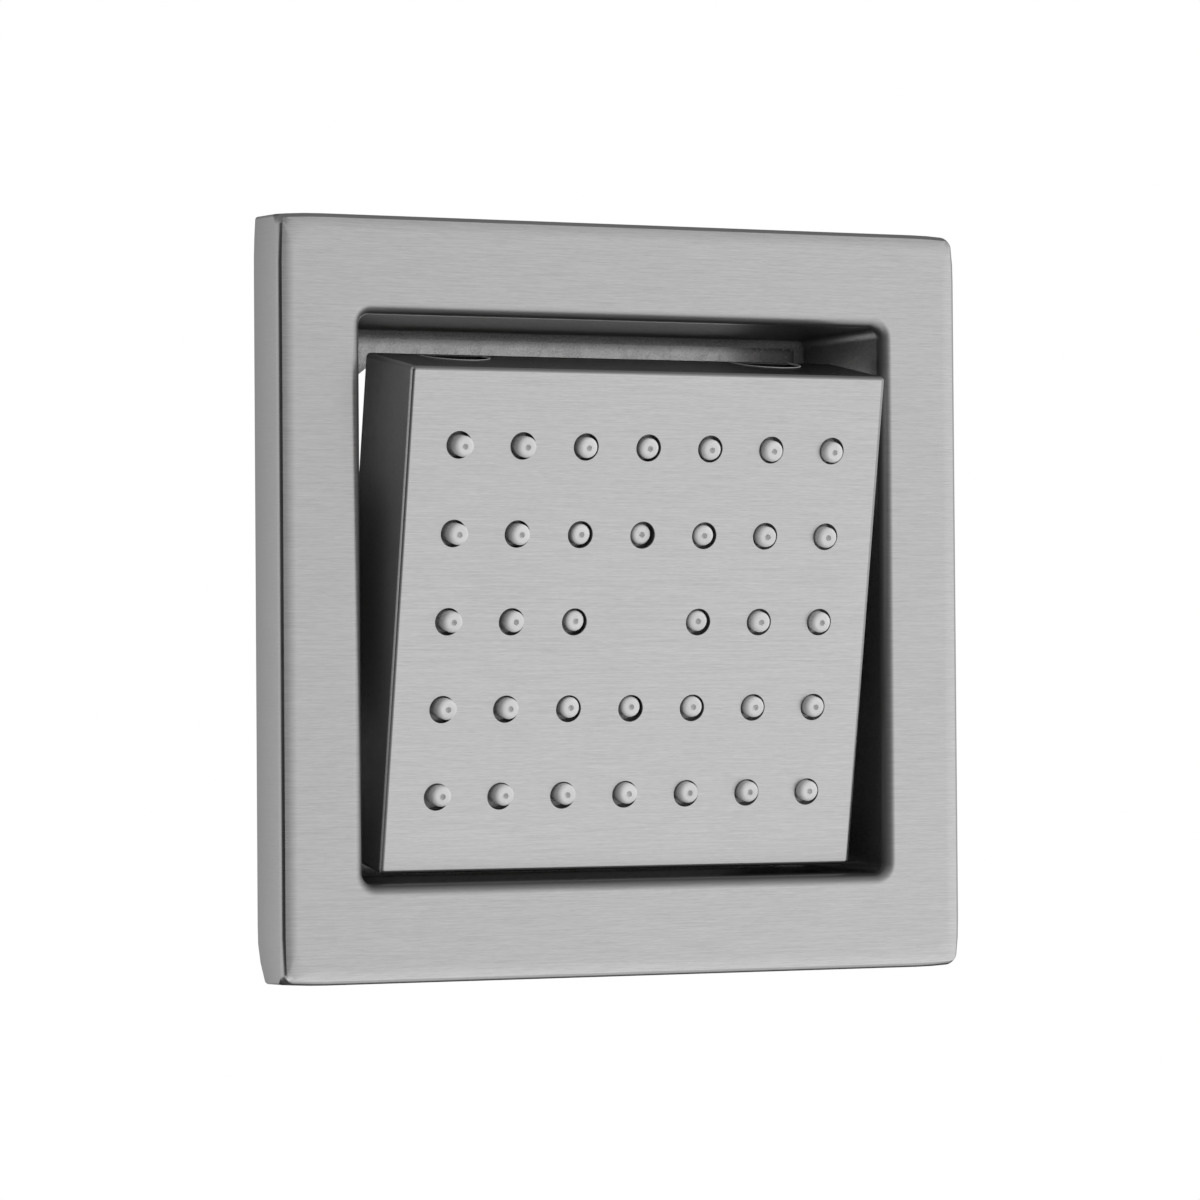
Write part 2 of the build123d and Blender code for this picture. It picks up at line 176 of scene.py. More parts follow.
def make_room():
    """World that is white to the camera, the flagged room in reflections, and a soft fill elsewhere."""
    world = bpy.data.worlds.new("room")
    world.use_nodes = True
    tree = world.node_tree
    tree.nodes.clear()
    path = tree.nodes.new("ShaderNodeLightPath").outputs
    reflected = math_node(tree, "MAXIMUM", path["Is Glossy Ray"], path["Is Transmission Ray"])
    mirrored = math_node(tree, "MULTIPLY", reflected, mirrored_room(tree))
    seen = math_node(tree, "MAXIMUM", path["Is Camera Ray"], reflected)
    fill = math_node(tree, "MULTIPLY", math_node(tree, "SUBTRACT", 1.0, seen), room_fill)
    shown = math_node(tree, "MAXIMUM", path["Is Camera Ray"], mirrored)
    background = tree.nodes.new("ShaderNodeBackground")
    background.inputs["Color"].default_value = white
    give(tree, math_node(tree, "ADD", shown, fill), background.inputs["Strength"])
    give(tree, background.outputs[0], tree.nodes.new("ShaderNodeOutputWorld").inputs["Surface"])
    return world


bpy.context.scene.world = make_room()
print("room: flag towards", [round(v, 2) for v in flag_side], "fill", room_fill)

# %% Soft box
key_side = Vector((0.56, -0.8, 0.2)).normalized()
key_distance = 1.0
key_width = 1.3
key_radiance = 1.5

lamp = bpy.data.lights.new("key", "AREA")
lamp.shape = "SQUARE"
lamp.size = key_width
lamp.energy = math.pi * key_width**2 * key_radiance
soft_box = bpy.data.objects.new("key", lamp)
soft_box.location = key_distance * key_side
soft_box.rotation_euler = key_side.to_track_quat("Z", "Y").to_euler()
soft_box.visible_camera = False
soft_box.visible_glossy = False
bpy.context.scene.collection.objects.link(soft_box)
print("soft box:", round(lamp.energy, 2), "watts")

# %% [markdown]
# ## Floor
# The jet hangs on a wall, so the floor lies well below it and only closes the room from underneath. It is
# pale to the camera. A floor that was lit and mirrored like any other would grey the lower edges, so in a
# reflection it shines by itself, as white as the room, apart from a dark card behind the jet, which draws a
# thin dark line along the frame's lower edge.

# %% Floor
floor_drop = 0.3
floor_radius = 0.6
floor_steps = 96
floor_colour = (0.8, 0.8, 0.8, 1.0)
floor_roughness = 0.9
floor_paleness = 0.45
card_level = 0.1
card_starts = -0.06
card_full = 0.1
black = (0.0, 0.0, 0.0, 1.0)
backwards = (0.0, 1.0, 0.0)


def mix_node(tree, factor, first, second):
    """Colour between two colours, given as sockets or constants."""
    node = tree.nodes.new("ShaderNodeMix")
    node.data_type = "RGBA"
    for name, given in (("Factor", factor), ("A", first), ("B", second)):
        give(tree, given, node.inputs[name])
    return node.outputs["Result"]


def make_floor_paint():
    """Pale paint, which in a reflection shows only its own white and the dark card."""
    paint = bpy.data.materials.new("floor_paint")
    paint.use_nodes = True
    tree = paint.node_tree
    sockets = tree.nodes["Principled BSDF"].inputs
    path = tree.nodes.new("ShaderNodeLightPath").outputs
    give(tree, mix_node(tree, path["Is Glossy Ray"], floor_colour, black), sockets["Base Color"])
    place = tree.nodes.new("ShaderNodeTexCoord").outputs["Object"]
    behind = vector_node(tree, "DOT_PRODUCT", place, backwards)
    card = range_node(tree, behind, card_starts, card_full, 1.0, card_level, "SMOOTHSTEP")
    pale = math_node(tree, "MULTIPLY", path["Is Camera Ray"], floor_paleness)
    mirrored = math_node(tree, "MULTIPLY", path["Is Glossy Ray"], card)
    give(tree, math_node(tree, "ADD", pale, mirrored), sockets["Emission Strength"])
    sockets["Emission Color"].default_value = white
    sockets["Roughness"].default_value = floor_roughness
    return paint


bm = bmesh.new()
below = Matrix.Translation((0, 0, frame_low.z - floor_drop))
bmesh.ops.create_circle(bm, cap_ends=True, segments=floor_steps, radius=floor_radius, matrix=below)
floor_mesh = bpy.data.meshes.new("floor")
bm.to_mesh(floor_mesh)
bm.free()
floor_mesh.materials.append(make_floor_paint())
floor = bpy.data.objects.new("floor", floor_mesh)
bpy.context.scene.collection.objects.link(floor)
print("floor at", round(below.translation.z, 3))

# %% [markdown]
# ## Finishes
# Every finish is a Principled shader. Pictures of metal could be wrapped round the pieces, but they would
# have to be fitted to every side, so the marks are worked out from where a point lies on its piece. Two
# effects come back in many finishes, and each of them is a node group: fine brushed lines that run level
# round the jet, and a soft grain that changes from place to place.

# %% Node groups
noise_low = 0.3
noise_high = 0.7
line_stretches = ((120.0, 120.0, 6000.0), (650.0, 650.0, 11000.0))
line_detail = 2.0
grain_detail = 3.0


def new_group(name, inputs):
    """Shader node group that puts out a value and a height. Gives back it and its own sockets."""
    group = bpy.data.node_groups.new(name, "ShaderNodeTree")
    for socket, value in inputs.items():
        made = group.interface.new_socket(socket, in_out="INPUT", socket_type="NodeSocketFloat")
        made.default_value = value
    for socket in ("Value", "Height"):
        group.interface.new_socket(socket, in_out="OUTPUT", socket_type="NodeSocketFloat")
    return group, group.nodes.new("NodeGroupInput").outputs, group.nodes.new("NodeGroupOutput").inputs


def noise_node(tree, vector, scale, detail):
    """Noise between 0 and 1 over a vector."""
    node = tree.nodes.new("ShaderNodeTexNoise")
    for name, given in (("Vector", vector), ("Scale", scale), ("Detail", detail)):
        give(tree, given, node.inputs[name])
    return node.outputs["Fac"]


def put_out(group, pattern, given, result):
    """Puts out a noise as a height, and its middle spread from Low to High as a value."""
    value = range_node(group, pattern, noise_low, noise_high, given["Low"], given["High"])
    give(group, value, result["Value"])
    give(group, pattern, result["Height"])


def make_brushed_group():
    """Level lines round the jet: thin streaks as a belt leaves them, from Low to High."""
    group, given, result = new_group("brushed_lines", {"Low": 0.0, "High": 1.0})
    place = group.nodes.new("ShaderNodeTexCoord").outputs["Object"]
    layers = []
    for stretch in line_stretches:
        mapping = group.nodes.new("ShaderNodeMapping")
        mapping.inputs["Scale"].default_value = stretch
        give(group, place, mapping.inputs["Vector"])
        layers.append(noise_node(group, mapping.outputs[0], 1.0, line_detail))
    mean = math_node(group, "MULTIPLY", math_node(group, "ADD", *layers), 1 / len(layers))
    put_out(group, mean, given, result)
    return group


def make_grain_group():
    """Soft grain of a given size in millimetres, from Low to High."""
    group, given, result = new_group("soft_grain", {"Size": 1.0, "Low": 0.0, "High": 1.0})
    place = group.nodes.new("ShaderNodeTexCoord").outputs["Object"]
    grains_per_metre = math_node(group, "DIVIDE", 1 / mm, given["Size"])
    put_out(group, noise_node(group, place, grains_per_metre, grain_detail), given, result)
    return group


brushed_lines = make_brushed_group()
soft_grain = make_grain_group()
print("node groups:", brushed_lines.name, soft_grain.name)

# %% New finishes
def grey(level):
    """Neutral colour."""
    return (level, level, level, 1.0)


def shader_sockets(material):
    """Inputs of a material's Principled shader."""
    return material.node_tree.nodes["Principled BSDF"].inputs


def new_finish(name, colour, metallic=0.0, **constants):
    """Material with a Principled shader, and constants on its own sockets."""
    material = bpy.data.materials.new(name)
    material.use_nodes = True
    sockets = shader_sockets(material)
    sockets["Base Color"].default_value = colour
    sockets["Metallic"].default_value = metallic
    for socket, value in constants.items():
        sockets[socket.replace("_", " ")].default_value = value
    return material


print("middle grey:", grey(0.5))

# %% Effects in a finish
def add_effect(material, group, **values):
    """Places a node group in a material, and gives back what it puts out."""
    node = material.node_tree.nodes.new("ShaderNodeGroup")
    node.node_tree = group
    for socket, value in values.items():
        node.inputs[socket].default_value = value
    return node.outputs


def tint(material, group, dark, light, **values):
    """Lets the colour run between two tones with a node group, and gives back what the group puts out."""
    effect = add_effect(material, group, Low=0.0, High=1.0, **values)
    colour = mix_node(material.node_tree, effect["Value"], dark, light)
    give(material.node_tree, colour, shader_sockets(material)["Base Color"])
    return effect


def roughen(material, group, roughness, **values):
    """Lets the roughness vary with a node group, and gives back what the group puts out."""
    low, high = roughness
    effect = add_effect(material, group, Low=low, High=high, **values)
    give(material.node_tree, effect["Value"], shader_sockets(material)["Roughness"])
    return effect


def add_bump(material, height, depth):
    """Bump from a height socket, whose full swing stands for a depth in metres."""
    bump = material.node_tree.nodes.new("ShaderNodeBump")
    bump.inputs["Strength"].default_value = 1.0
    bump.inputs["Distance"].default_value = depth
    give(material.node_tree, height, bump.inputs["Height"])
    give(material.node_tree, bump.outputs[0], shader_sockets(material)["Normal"])


print("effects: tint, roughness, bump")

# %% [markdown]
# ## Metals
# The real jet is one metal with several skins. A belt has brushed the flat fronts, the sides are satin,
# and in the well, where no belt reaches, the skin is blasted and dull. One material with masks could hold
# all of them, but a material for each skin is easier to read and to change, and each face gets its own.

# %% Kinds of metal
brushed_roughness = (0.3, 0.4)
line_depth = 0.002 * mm
satin_roughness = (0.27, 0.31)
satin_grain = 6.0
satin_edge_tint = 0.6
blasted_grain = 0.3
blasted_patch = 2.0


def make_brushed_metal(name, dark, light):
    """Front faces: a belt-brushed finish with fine lines across."""
    material = new_finish(name, grey(light), metallic=1.0)
    lines = tint(material, brushed_lines, grey(dark), grey(light))
    roughen(material, brushed_lines, brushed_roughness)
    add_bump(material, lines["Height"], line_depth)
    return material


def make_satin_metal(name, dark, light):
    """Sides and edges: the same metal with a finer, darker finish."""
    material = new_finish(name, grey(light), metallic=1.0, Specular_Tint=grey(satin_edge_tint))
    tint(material, brushed_lines, grey(dark), grey(light))
    roughen(material, soft_grain, satin_roughness, Size=satin_grain)
    return material


def make_blasted_metal(name, tones, roughness, metallic, bump_depth, edge_tint=1.0):
    """Skin that no belt reaches, grainy from tone to tone. Its edge tint dims it at a flat angle."""
    dark, light = tones
    material = new_finish(name, grey(light), metallic, Specular_Tint=grey(edge_tint))
    grain = tint(material, soft_grain, grey(dark), grey(light), Size=blasted_grain)
    roughen(material, soft_grain, roughness, Size=blasted_patch)
    add_bump(material, grain["Height"], bump_depth)
    return material


print("kinds of metal: brushed, satin, blasted")

# %% Painted shade
def place_sockets(material):
    """X, Y and Z of a point on the piece."""
    tree = material.node_tree
    split = tree.nodes.new("ShaderNodeSeparateXYZ")
    give(tree, tree.nodes.new("ShaderNodeTexCoord").outputs["Object"], split.inputs[0])
    return split.outputs


def darken_along(material, measure, start, full, tone):
    """Fades a finish to a darker tone between two values of a measure. Gives back the share left."""
    tree = material.node_tree
    colour = shader_sockets(material)["Base Color"]
    left = range_node(tree, measure, start, full, 1.0, 0.0)
    give(tree, mix_node(tree, left, grey(tone), colour.links[0].from_socket), colour)
    return left


def paint_roll_shade(material, start, full, tone, metallic):
    """Painted shade on the rolled edge: darker and less metallic with depth towards the well."""
    tree = material.node_tree
    depth = math_node(tree, "SUBTRACT", place_sockets(material)["Y"], start)
    along_roll = math_node(tree, "SQRT", math_node(tree, "MAXIMUM", depth, 0.0))
    left = darken_along(material, along_roll, 0.0, math.sqrt(full - start), tone)
    share = math_node(tree, "MULTIPLY_ADD", left, 1 - metallic, metallic)
    give(tree, share, shader_sockets(material)["Metallic"])


def paint_corner_shade(material, half_width, half_height, start, full, tone):
    """Painted shade towards the inner corner that a lip makes with the walls round it."""
    tree = material.node_tree
    place = place_sockets(material)
    from_side = math_node(tree, "SUBTRACT", half_width, math_node(tree, "ABSOLUTE", place["X"]))
    from_top = math_node(tree, "SUBTRACT", half_height, math_node(tree, "ABSOLUTE", place["Z"]))
    darken_along(material, math_node(tree, "MINIMUM", from_side, from_top), start, full, tone)


print("painted shade helpers ready")

# %% Metals of the frame
opening_half_width = 45.3 * mm
opening_half_height = 43.8 * mm
roll_shade_depth = 0.75 * mm
roll_shade_tone = 0.1
roll_shade_metallic = 0.55
skirt_back_shade_tone = 0.31
lip_shade_inset = 0.4 * mm
lip_shade_starts = 2.4 * mm
lip_shade_full = 0.7 * mm
lip_shade_tone = 0.1

frame_metal = make_brushed_metal("brushed_frame", dark=0.53, light=0.73)
roll_metal = make_brushed_metal("brushed_roll", dark=0.53, light=0.73)
# Painted shade: the roll darkens and loses its shine towards the well.
paint_roll_shade(
    roll_metal, frame_front + merge_distance, frame_front + roll_shade_depth,
    roll_shade_tone, roll_shade_metallic,
)
skirt_metal = make_satin_metal("satin_skirt", dark=0.385, light=0.455)
# Painted shade: the satin skirt darkens towards the wall behind it.
darken_along(skirt_metal, place_sockets(skirt_metal)["Y"], frame_front, 0.0, skirt_back_shade_tone)
well_metal = make_blasted_metal(
    "blasted_well", tones=(0.28, 0.4), roughness=(0.34, 0.42), metallic=0.96, bump_depth=0.02 * mm,
    edge_tint=0.25,
)
fillet_metal = make_blasted_metal(
    "blasted_fillet", tones=(0.3, 0.55), roughness=(0.5, 0.6), metallic=0.3, bump_depth=0.01 * mm,
)
lip_metal = make_blasted_metal(
    "blasted_lip", tones=(0.54, 0.86), roughness=(0.22, 0.3), metallic=0.6, bump_depth=0.006 * mm,
)
# Painted shade: the lip darkens towards the walls of the well.
paint_corner_shade(
    lip_metal, opening_half_width - lip_shade_inset, opening_half_height - lip_shade_inset,
    lip_shade_starts, lip_shade_full, lip_shade_tone,
)
frame_finishes = [frame_metal, skirt_metal, well_metal, lip_metal, fillet_metal, roll_metal]
print("metals of the frame:", [material.name for material in frame_finishes])

# %% Metals of the head
face_metal = make_brushed_metal("brushed_head", dark=0.5, light=0.7)
satin_metal = make_satin_metal("satin_sides", dark=0.33, light=0.39)
head_metal = make_blasted_metal(
    "satin_head", tones=(0.38, 0.44), roughness=(0.34, 0.42), metallic=0.65, bump_depth=0.004 * mm,
)
# Painted highlight: a lighter, hardly metallic finish for the light lines along the head's front edges and
# the notch rims.
highlight_edge_metal = make_blasted_metal(
    "painted_highlight_edge", tones=(0.5, 0.64), roughness=(0.3, 0.4), metallic=0.1, bump_depth=0.002 * mm,
)
print("metals of the head:", face_metal.name, satin_metal.name, head_metal.name, highlight_edge_metal.name)

# %% [markdown]
# ## Soft and plain finishes
# Rubber, foam, plastic, brass and plated steel show no marks of tools at this size. Flat colours would
# make them look like paint, so tone and roughness both drift a little with the soft grain, and a table
# holds what differs from one to the next, with grain and bump in millimetres.

# %% Soft and plain finishes
darker_share = 0.94
lighter_share = 1.06
tone_scale = 4.0


def shade(colour, share):
    """A colour made darker or lighter."""
    return (*[min(1.0, share * part) for part in colour[:3]], 1.0)


def make_grained(name, colour, roughness, grain, bump, metallic=0.0, **constants):
    """Finish whose tone and roughness vary with the soft grain."""
    material = new_finish(name, colour, metallic, **constants)
    fine = roughen(material, soft_grain, roughness, Size=grain)
    dark, light = [shade(colour, share) for share in (darker_share, lighter_share)]
    tint(material, soft_grain, dark, light, Size=tone_scale * grain)
    add_bump(material, fine["Height"], bump * mm)
    return material


plain_finishes = {
    "silicone": dict(colour=grey(0.72), roughness=(0.42, 0.58), grain=0.6, bump=0.004, IOR=1.41),
    "foam": dict(colour=(0.03, 0.03, 0.032, 1.0), roughness=(0.9, 1.0), grain=0.5, bump=0.15),
    "plated_steel": dict(
        colour=(0.55, 0.56, 0.57, 1.0), roughness=(0.26, 0.42), grain=1.5, bump=0.003, metallic=1.0,
    ),
    "brass": dict(
        colour=(0.62, 0.45, 0.2, 1.0), roughness=(0.22, 0.34), grain=1.2, bump=0.002, metallic=1.0,
    ),
    "fibre": dict(colour=(0.16, 0.035, 0.025, 1.0), roughness=(0.7, 0.85), grain=0.3, bump=0.02),
    "white_plastic": dict(colour=(0.72, 0.72, 0.7, 1.0), roughness=(0.38, 0.5), grain=0.5, bump=0.004),
    "black_rubber": dict(colour=(0.02, 0.02, 0.021, 1.0), roughness=(0.55, 0.7), grain=0.4, bump=0.01),
    "dark_plastic": dict(colour=(0.045, 0.046, 0.048, 1.0), roughness=(0.4, 0.55), grain=0.35, bump=0.008),
    # Painted shadow: a near-black finish that hardly shines, for the inside of the notches, where shade
    # falls.
    "notch_shadow_paint": dict(
        colour=grey(0.01), roughness=(0.8, 0.95), grain=0.4, bump=0.004, Specular_IOR_Level=0.1,
    ),
}
slot_finish = {name: make_grained(name, **values) for name, values in plain_finishes.items()}
slot_finish["brushed_metal"] = satin_metal
print("finishes:", sorted(slot_finish))

# %% Finishes on the solids
for node in frame["nodes"].values():
    for slot in node.material_slots:
        slot.material = slot_finish[slot.material.name.split(".")[0]]
print("solids finished:", len(frame["nodes"]))

# %% [markdown]
# ## From bmesh to piece
# Each piece is shaped in a bmesh and then becomes an object that rides on a body of the frame. One Bevel
# modifier could round all the edges of a plain box alike, but here each round is modelled, so that it can
# have a size and a finish of its own. Edges sharper than a limit stay crisp, and the Weighted Normal
# modifier keeps wide flat faces flat beside small rounds.

# %% Piece helpers
crisp_angle = math.radians(40)
blend_angle = math.radians(9)
flat_weight = 100


def clean(bm):
    """Joins points that coincide, and turns all faces outwards."""
    bmesh.ops.remove_doubles(bm, verts=bm.verts, dist=merge_distance)
    bmesh.ops.recalc_face_normals(bm, faces=bm.faces)


def make_piece(bm, name, body, slot, node, finishes=None):
    """Object from a finished bmesh, in place of a node of the frame."""
    clean(bm)
    for face in bm.faces:
        face.smooth = True
    for edge in bm.edges:
        one_finish = len({face.material_index for face in edge.link_faces}) == 1
        edge.smooth = edge.calc_face_angle(0.0) < (crisp_angle if one_finish else blend_angle)
    open_edges = sum(not edge.is_manifold for edge in bm.edges)
    mesh = bpy.data.meshes.new(name)
    bm.to_mesh(mesh)
    bm.free()
    for finish in finishes or [slot_finish[slot]]:
        mesh.materials.append(finish)
    piece = bpy.data.objects.new(name, mesh)
    bpy.context.scene.collection.objects.link(piece)
    flat_first = piece.modifiers.new("flat_faces_first", "WEIGHTED_NORMAL")
    flat_first.keep_sharp = True
    flat_first.weight = flat_weight
    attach(piece, body)
    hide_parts(node)
    print(name, "faces:", len(mesh.polygons), "open edges:", open_edges)


def lay_finishes(bm, finishes, finish_of):
    """Gives every face the number of its finish."""
    for face in bm.faces:
        face.material_index = finishes.index(finish_of(face))


print("edges stay crisp over", round(math.degrees(crisp_angle)), "degrees")

# %% Mesh helpers
def everything(bm):
    """All points, edges and faces of a bmesh."""
    return bm.verts[:] + bm.edges[:] + bm.faces[:]


def only_verts(items):
    """The points among the items that an operator made."""
    return [item for item in items if isinstance(item, bmesh.types.BMVert)]


def soften(bm, geom, offset, segments, affect):
    """Rounds edges, or the corners of a flat outline."""
    bmesh.ops.bevel(
        bm, geom=geom, offset=offset, offset_type="OFFSET", segments=segments,
        profile=0.5, affect=affect, material=-1,
    )


def quarter(steps, turn=90.0):
    """Sines and cosines of a quarter turn, or of the first part of one, in even steps."""
    angles = [math.radians(turn) * step / steps for step in range(steps + 1)]
    return [(math.sin(angle), math.cos(angle)) for angle in angles]


print("points of a quarter in two steps:", [(round(s, 2), round(c, 2)) for s, c in quarter(2)])

# %% [markdown]
# ## From outline to outline
# Most of the jet has rounded rectangles for sections. A piece could be stacked from bevelled boxes, but its
# rounds would then not meet. So one loop of edges is extruded from outline to outline, and at each of them
# the corners keep their shape while the sides stretch.

# %% Outline helpers
Outline = namedtuple("Outline", "half_width half_height corner_r y")
lie_across = Matrix.Rotation(math.radians(90), 4, "X")


def flat_rectangle(bm, matrix):
    """Square sheet from -1 to 1, placed and sized by a matrix. Gives back its corners."""
    return bmesh.ops.create_grid(bm, x_segments=1, y_segments=1, size=1.0, matrix=matrix)["verts"]


def first_loop(bm, outline, corner_steps, side_cuts):
    """Edge loop of a rounded rectangle across the jet's axis: a sheet with its corners bevelled."""
    size = Matrix.Diagonal((outline.half_width, outline.half_height, 1, 1))
    before = set(bm.faces)
    corners = flat_rectangle(bm, Matrix.Translation((0, outline.y, 0)) @ lie_across @ size)
    soften(bm, corners, outline.corner_r, corner_steps, "VERTICES")
    sheet = [face for face in bm.faces if face not in before]
    sides = sorted(sheet[0].edges, key=lambda edge: edge.calc_length())[-4:]
    bmesh.ops.subdivide_edges(bm, edges=sides, cuts=side_cuts)
    edges = list(sheet[0].edges)
    bmesh.ops.delete(bm, geom=sheet, context="FACES_ONLY")
    return edges


def carried(value, half, corner_r, new_half, new_corner_r):
    """Coordinate taken from one outline to another: corners keep their shape, and sides stretch."""
    straight = half - corner_r
    new_straight = new_half - new_corner_r
    past = abs(value) - straight
    if past > 0:
        return math.copysign(new_straight + past * new_corner_r / corner_r, value)
    return value * new_straight / straight


def next_loop(bm, edges, here, there):
    """Extrudes a loop from one outline to another."""
    made = bmesh.ops.extrude_edge_only(bm, edges=edges)["geom"]
    moved = set(only_verts(made))
    for vert in moved:
        vert.co.x = carried(vert.co.x, here.half_width, here.corner_r, there.half_width, there.corner_r)
        vert.co.z = carried(vert.co.z, here.half_height, here.corner_r, there.half_height, there.corner_r)
        vert.co.y = there.y
    return [item for item in made if isinstance(item, bmesh.types.BMEdge) and moved.issuperset(item.verts)]


def skin(bm, outlines, corner_steps=8, side_cuts=0):
    """Walls from outline to outline. Gives back the edge loop at the last of them."""
    loop = first_loop(bm, outlines[0], corner_steps, side_cuts)
    for here, there in zip(outlines, outlines[1:]):
        loop = next_loop(bm, loop, here, there)
    return loop


print("outline helpers ready")

# %% [markdown]
# ## The wall frame
# On the real jet this is one casting: a hollow flange, an opening with a rolled edge, a drafted well and a
# lip round its open back. A box could be cut open for it, but every round would then have to be bevelled by
# itself. Its section is the same all the way round, so the loop goes over the front, down into the well and
# back to the wall, and the rounds are short arcs of outlines. The front is brushed flat after that, so it
# meets the rounded edge in a crease.

# %% Outer edge and front
frame_half = frame_high.x
frame_corner_r = 1.6 * mm
frame_edge_r = 1.05 * mm
edge_turn = 68.0
edge_steps = 5
crown_width = 2.0 * mm
crown_drop = 0.22 * mm
crown_corner_r = 3.6 * mm
crown_steps = 4


def inset_outline(inset, y, corner_r):
    """Outline of the flange, drawn in from its outer edge."""
    half = frame_half - inset
    return Outline(half, half, corner_r, y)


def front_edge():
    """Outlines over the rounded outer edge and on to the crowned front, which ends it in a crease."""
    section = []
    crease = quarter(edge_steps, edge_turn)[-1][0]
    for across, along in quarter(edge_steps, edge_turn):
        depth = frame_front + crown_drop + frame_edge_r * (crease - across)
        inset = frame_edge_r * (1 - along)
        section.append(inset_outline(inset, depth, frame_corner_r - inset))
    start = frame_half - section[-1].half_width
    crease_r = section[-1].corner_r
    for step in range(1, crown_steps + 1):
        share = step / crown_steps
        corner_r = crease_r + (crown_corner_r - crease_r) * share
        depth = frame_front + crown_drop * (1 - share) ** 2
        section.append(inset_outline(start + crown_width * share, depth, corner_r))
    return section


print("outlines over the front edge:", len(front_edge()))

# %% Well and hollow
back_corner_r = 0.5 * mm
back_corner_depth = 2.6 * mm
frame_wall = 2.2 * mm
front_wall = 2.6 * mm
hollow_corner_r = 1.0 * mm
opening_corner_r = 1.8 * mm
roll_depth = 1.7 * mm
roll_width = 1.8 * mm
roll_steps = 10
well_draft = math.radians(1.0)
well_wall = 2.2 * mm
well_fillet = 1.2 * mm
fillet_steps = 8
lip_thickness = 4.0 * mm
lip_width = 7.0 * mm
lip_height = 4.5 * mm
lip_corner_r = 10.0 * mm
lip_back = frame_high.y
well_floor = lip_back - lip_thickness
draft_inset = (well_floor - frame_front) * math.tan(well_draft)
lip_half_width = opening_half_width - draft_inset - lip_width
lip_half_height = opening_half_height - draft_inset - lip_height


def well_outline(wall, y):
    """Outline of the drafted well, grown by a wall, at a depth."""
    grow = wall - (y - frame_front) * math.tan(well_draft)
    return Outline(opening_half_width + grow, opening_half_height + grow, opening_corner_r + grow, y)


def frame_section():
    """Outlines round the section of the casting, from the wall over the front and back again."""
    under_front = frame_front + front_wall
    hollow_half = frame_half - frame_wall
    lip = (lip_half_width, lip_half_height, lip_corner_r)
    section = [inset_outline(0.0, y, back_corner_r) for y in (0.0, frame_front + back_corner_depth)]
    section += front_edge()
    for across, along in quarter(roll_steps):
        section.append(well_outline(roll_width * (1 - across), frame_front + roll_depth * (1 - along)))
    for across, along in quarter(fillet_steps):
        section.append(well_outline(-well_fillet * (1 - along), well_floor - well_fillet * (1 - across)))
    section += [Outline(*lip, well_floor), Outline(*lip, lip_back)]
    section += [well_outline(well_wall, lip_back), well_outline(well_wall, under_front)]
    section += [Outline(hollow_half, hollow_half, hollow_corner_r, y) for y in (under_front, 0.0)]
    return section + section[:1]


print("outlines round the frame:", len(frame_section()))

# %% Brushed corners
corner_drop = 0.3 * mm
ease_depth = 0.3 * mm
ease_length = 8.0 * mm
lower_back_ease = 1.0 * mm
dub_depth = 1.0 * mm
dub_length = 4.2 * mm


def ease_corners(bm):
    """Draws the flange in and back towards its corners, as hand brushing leaves them."""
    starts = frame_half - ease_length
    flange_starts = frame_half - crown_width - frame_edge_r
    edge_height = frame_edge_r * math.sin(math.radians(edge_turn))
    for vert in bm.verts:
        if max(abs(vert.co.x), abs(vert.co.z)) > flange_starts:
            near_x = max(0.0, abs(vert.co.x) - starts) / ease_length
            near_z = max(0.0, abs(vert.co.z) - starts) / ease_length
            from_corner = frame_half - min(abs(vert.co.x), abs(vert.co.z))
            near_corner = max(0.0, 1 - from_corner / dub_length)
            behind = 1 - vert.co.y / frame_front
            ease = ease_depth + (lower_back_ease * behind if vert.co.z < 0 else 0.0)
            vert.co.x -= math.copysign(ease * near_z**2, vert.co.x)
            vert.co.z -= math.copysign(ease_depth * (1 - behind) * near_x**2, vert.co.z)
            over_edge = (vert.co.y - frame_front - crown_drop) / edge_height
            if merge_distance < over_edge < 1 + merge_distance:
                vert.co.y += dub_depth * over_edge * near_corner**2
            if vert.co.y < frame_front + front_wall:
                vert.co.y += corner_drop * (near_x * near_z) ** 4


print("corners eased by", ease_depth / mm, "mm and rubbed back by", dub_depth / mm, "mm")

# %% Wall frame
frame_corner_steps = 6
frame_side_cuts = 40


def frame_finish(face):
    """Finish on a face: brushed front, roll with painted shade, satin outside, and blasted well, fillet and
    lip.
    """
    middle = face.calc_center_median()
    front_half = frame_half - frame_edge_r * (1 - math.cos(math.radians(edge_turn)))
    from_opening = max(abs(middle.x) - opening_half_width, abs(middle.z) - opening_half_height)
    in_well = from_opening < roll_width
    on_front = max(abs(middle.x), abs(middle.z)) < front_half and face.normal.y < 0
    if middle.y < frame_front + roll_depth and (in_well or on_front):
        return roll_metal if in_well else frame_metal
    if not in_well or middle.y > well_floor + merge_distance:
        return skirt_metal
    if middle.y < well_floor - well_fillet:
        return well_metal
    return fillet_metal if middle.y < well_floor - merge_distance else lip_metal


bm = bmesh.new()
skin(bm, frame_section(), frame_corner_steps, frame_side_cuts)
clean(bm)
lay_finishes(bm, frame_finishes, frame_finish)
ease_corners(bm)
make_piece(bm, "frame_casting", "wall_side", "brushed_metal", "wall_frame", frame_finishes)

# %% [markdown]
# ## The spray face
# The shell of the head is a deep, thin-walled tray with a round hole for each nozzle. It is built square to
# the wall, as it was pressed, and then tilted about the ball joint. The holes could be cut out of a
# finished plate, but a soft edge on each of them would then be hard to hold. Here each hole is a short
# profile spun round its axis, and one flat fill joins all the hole edges to the rim of the face.

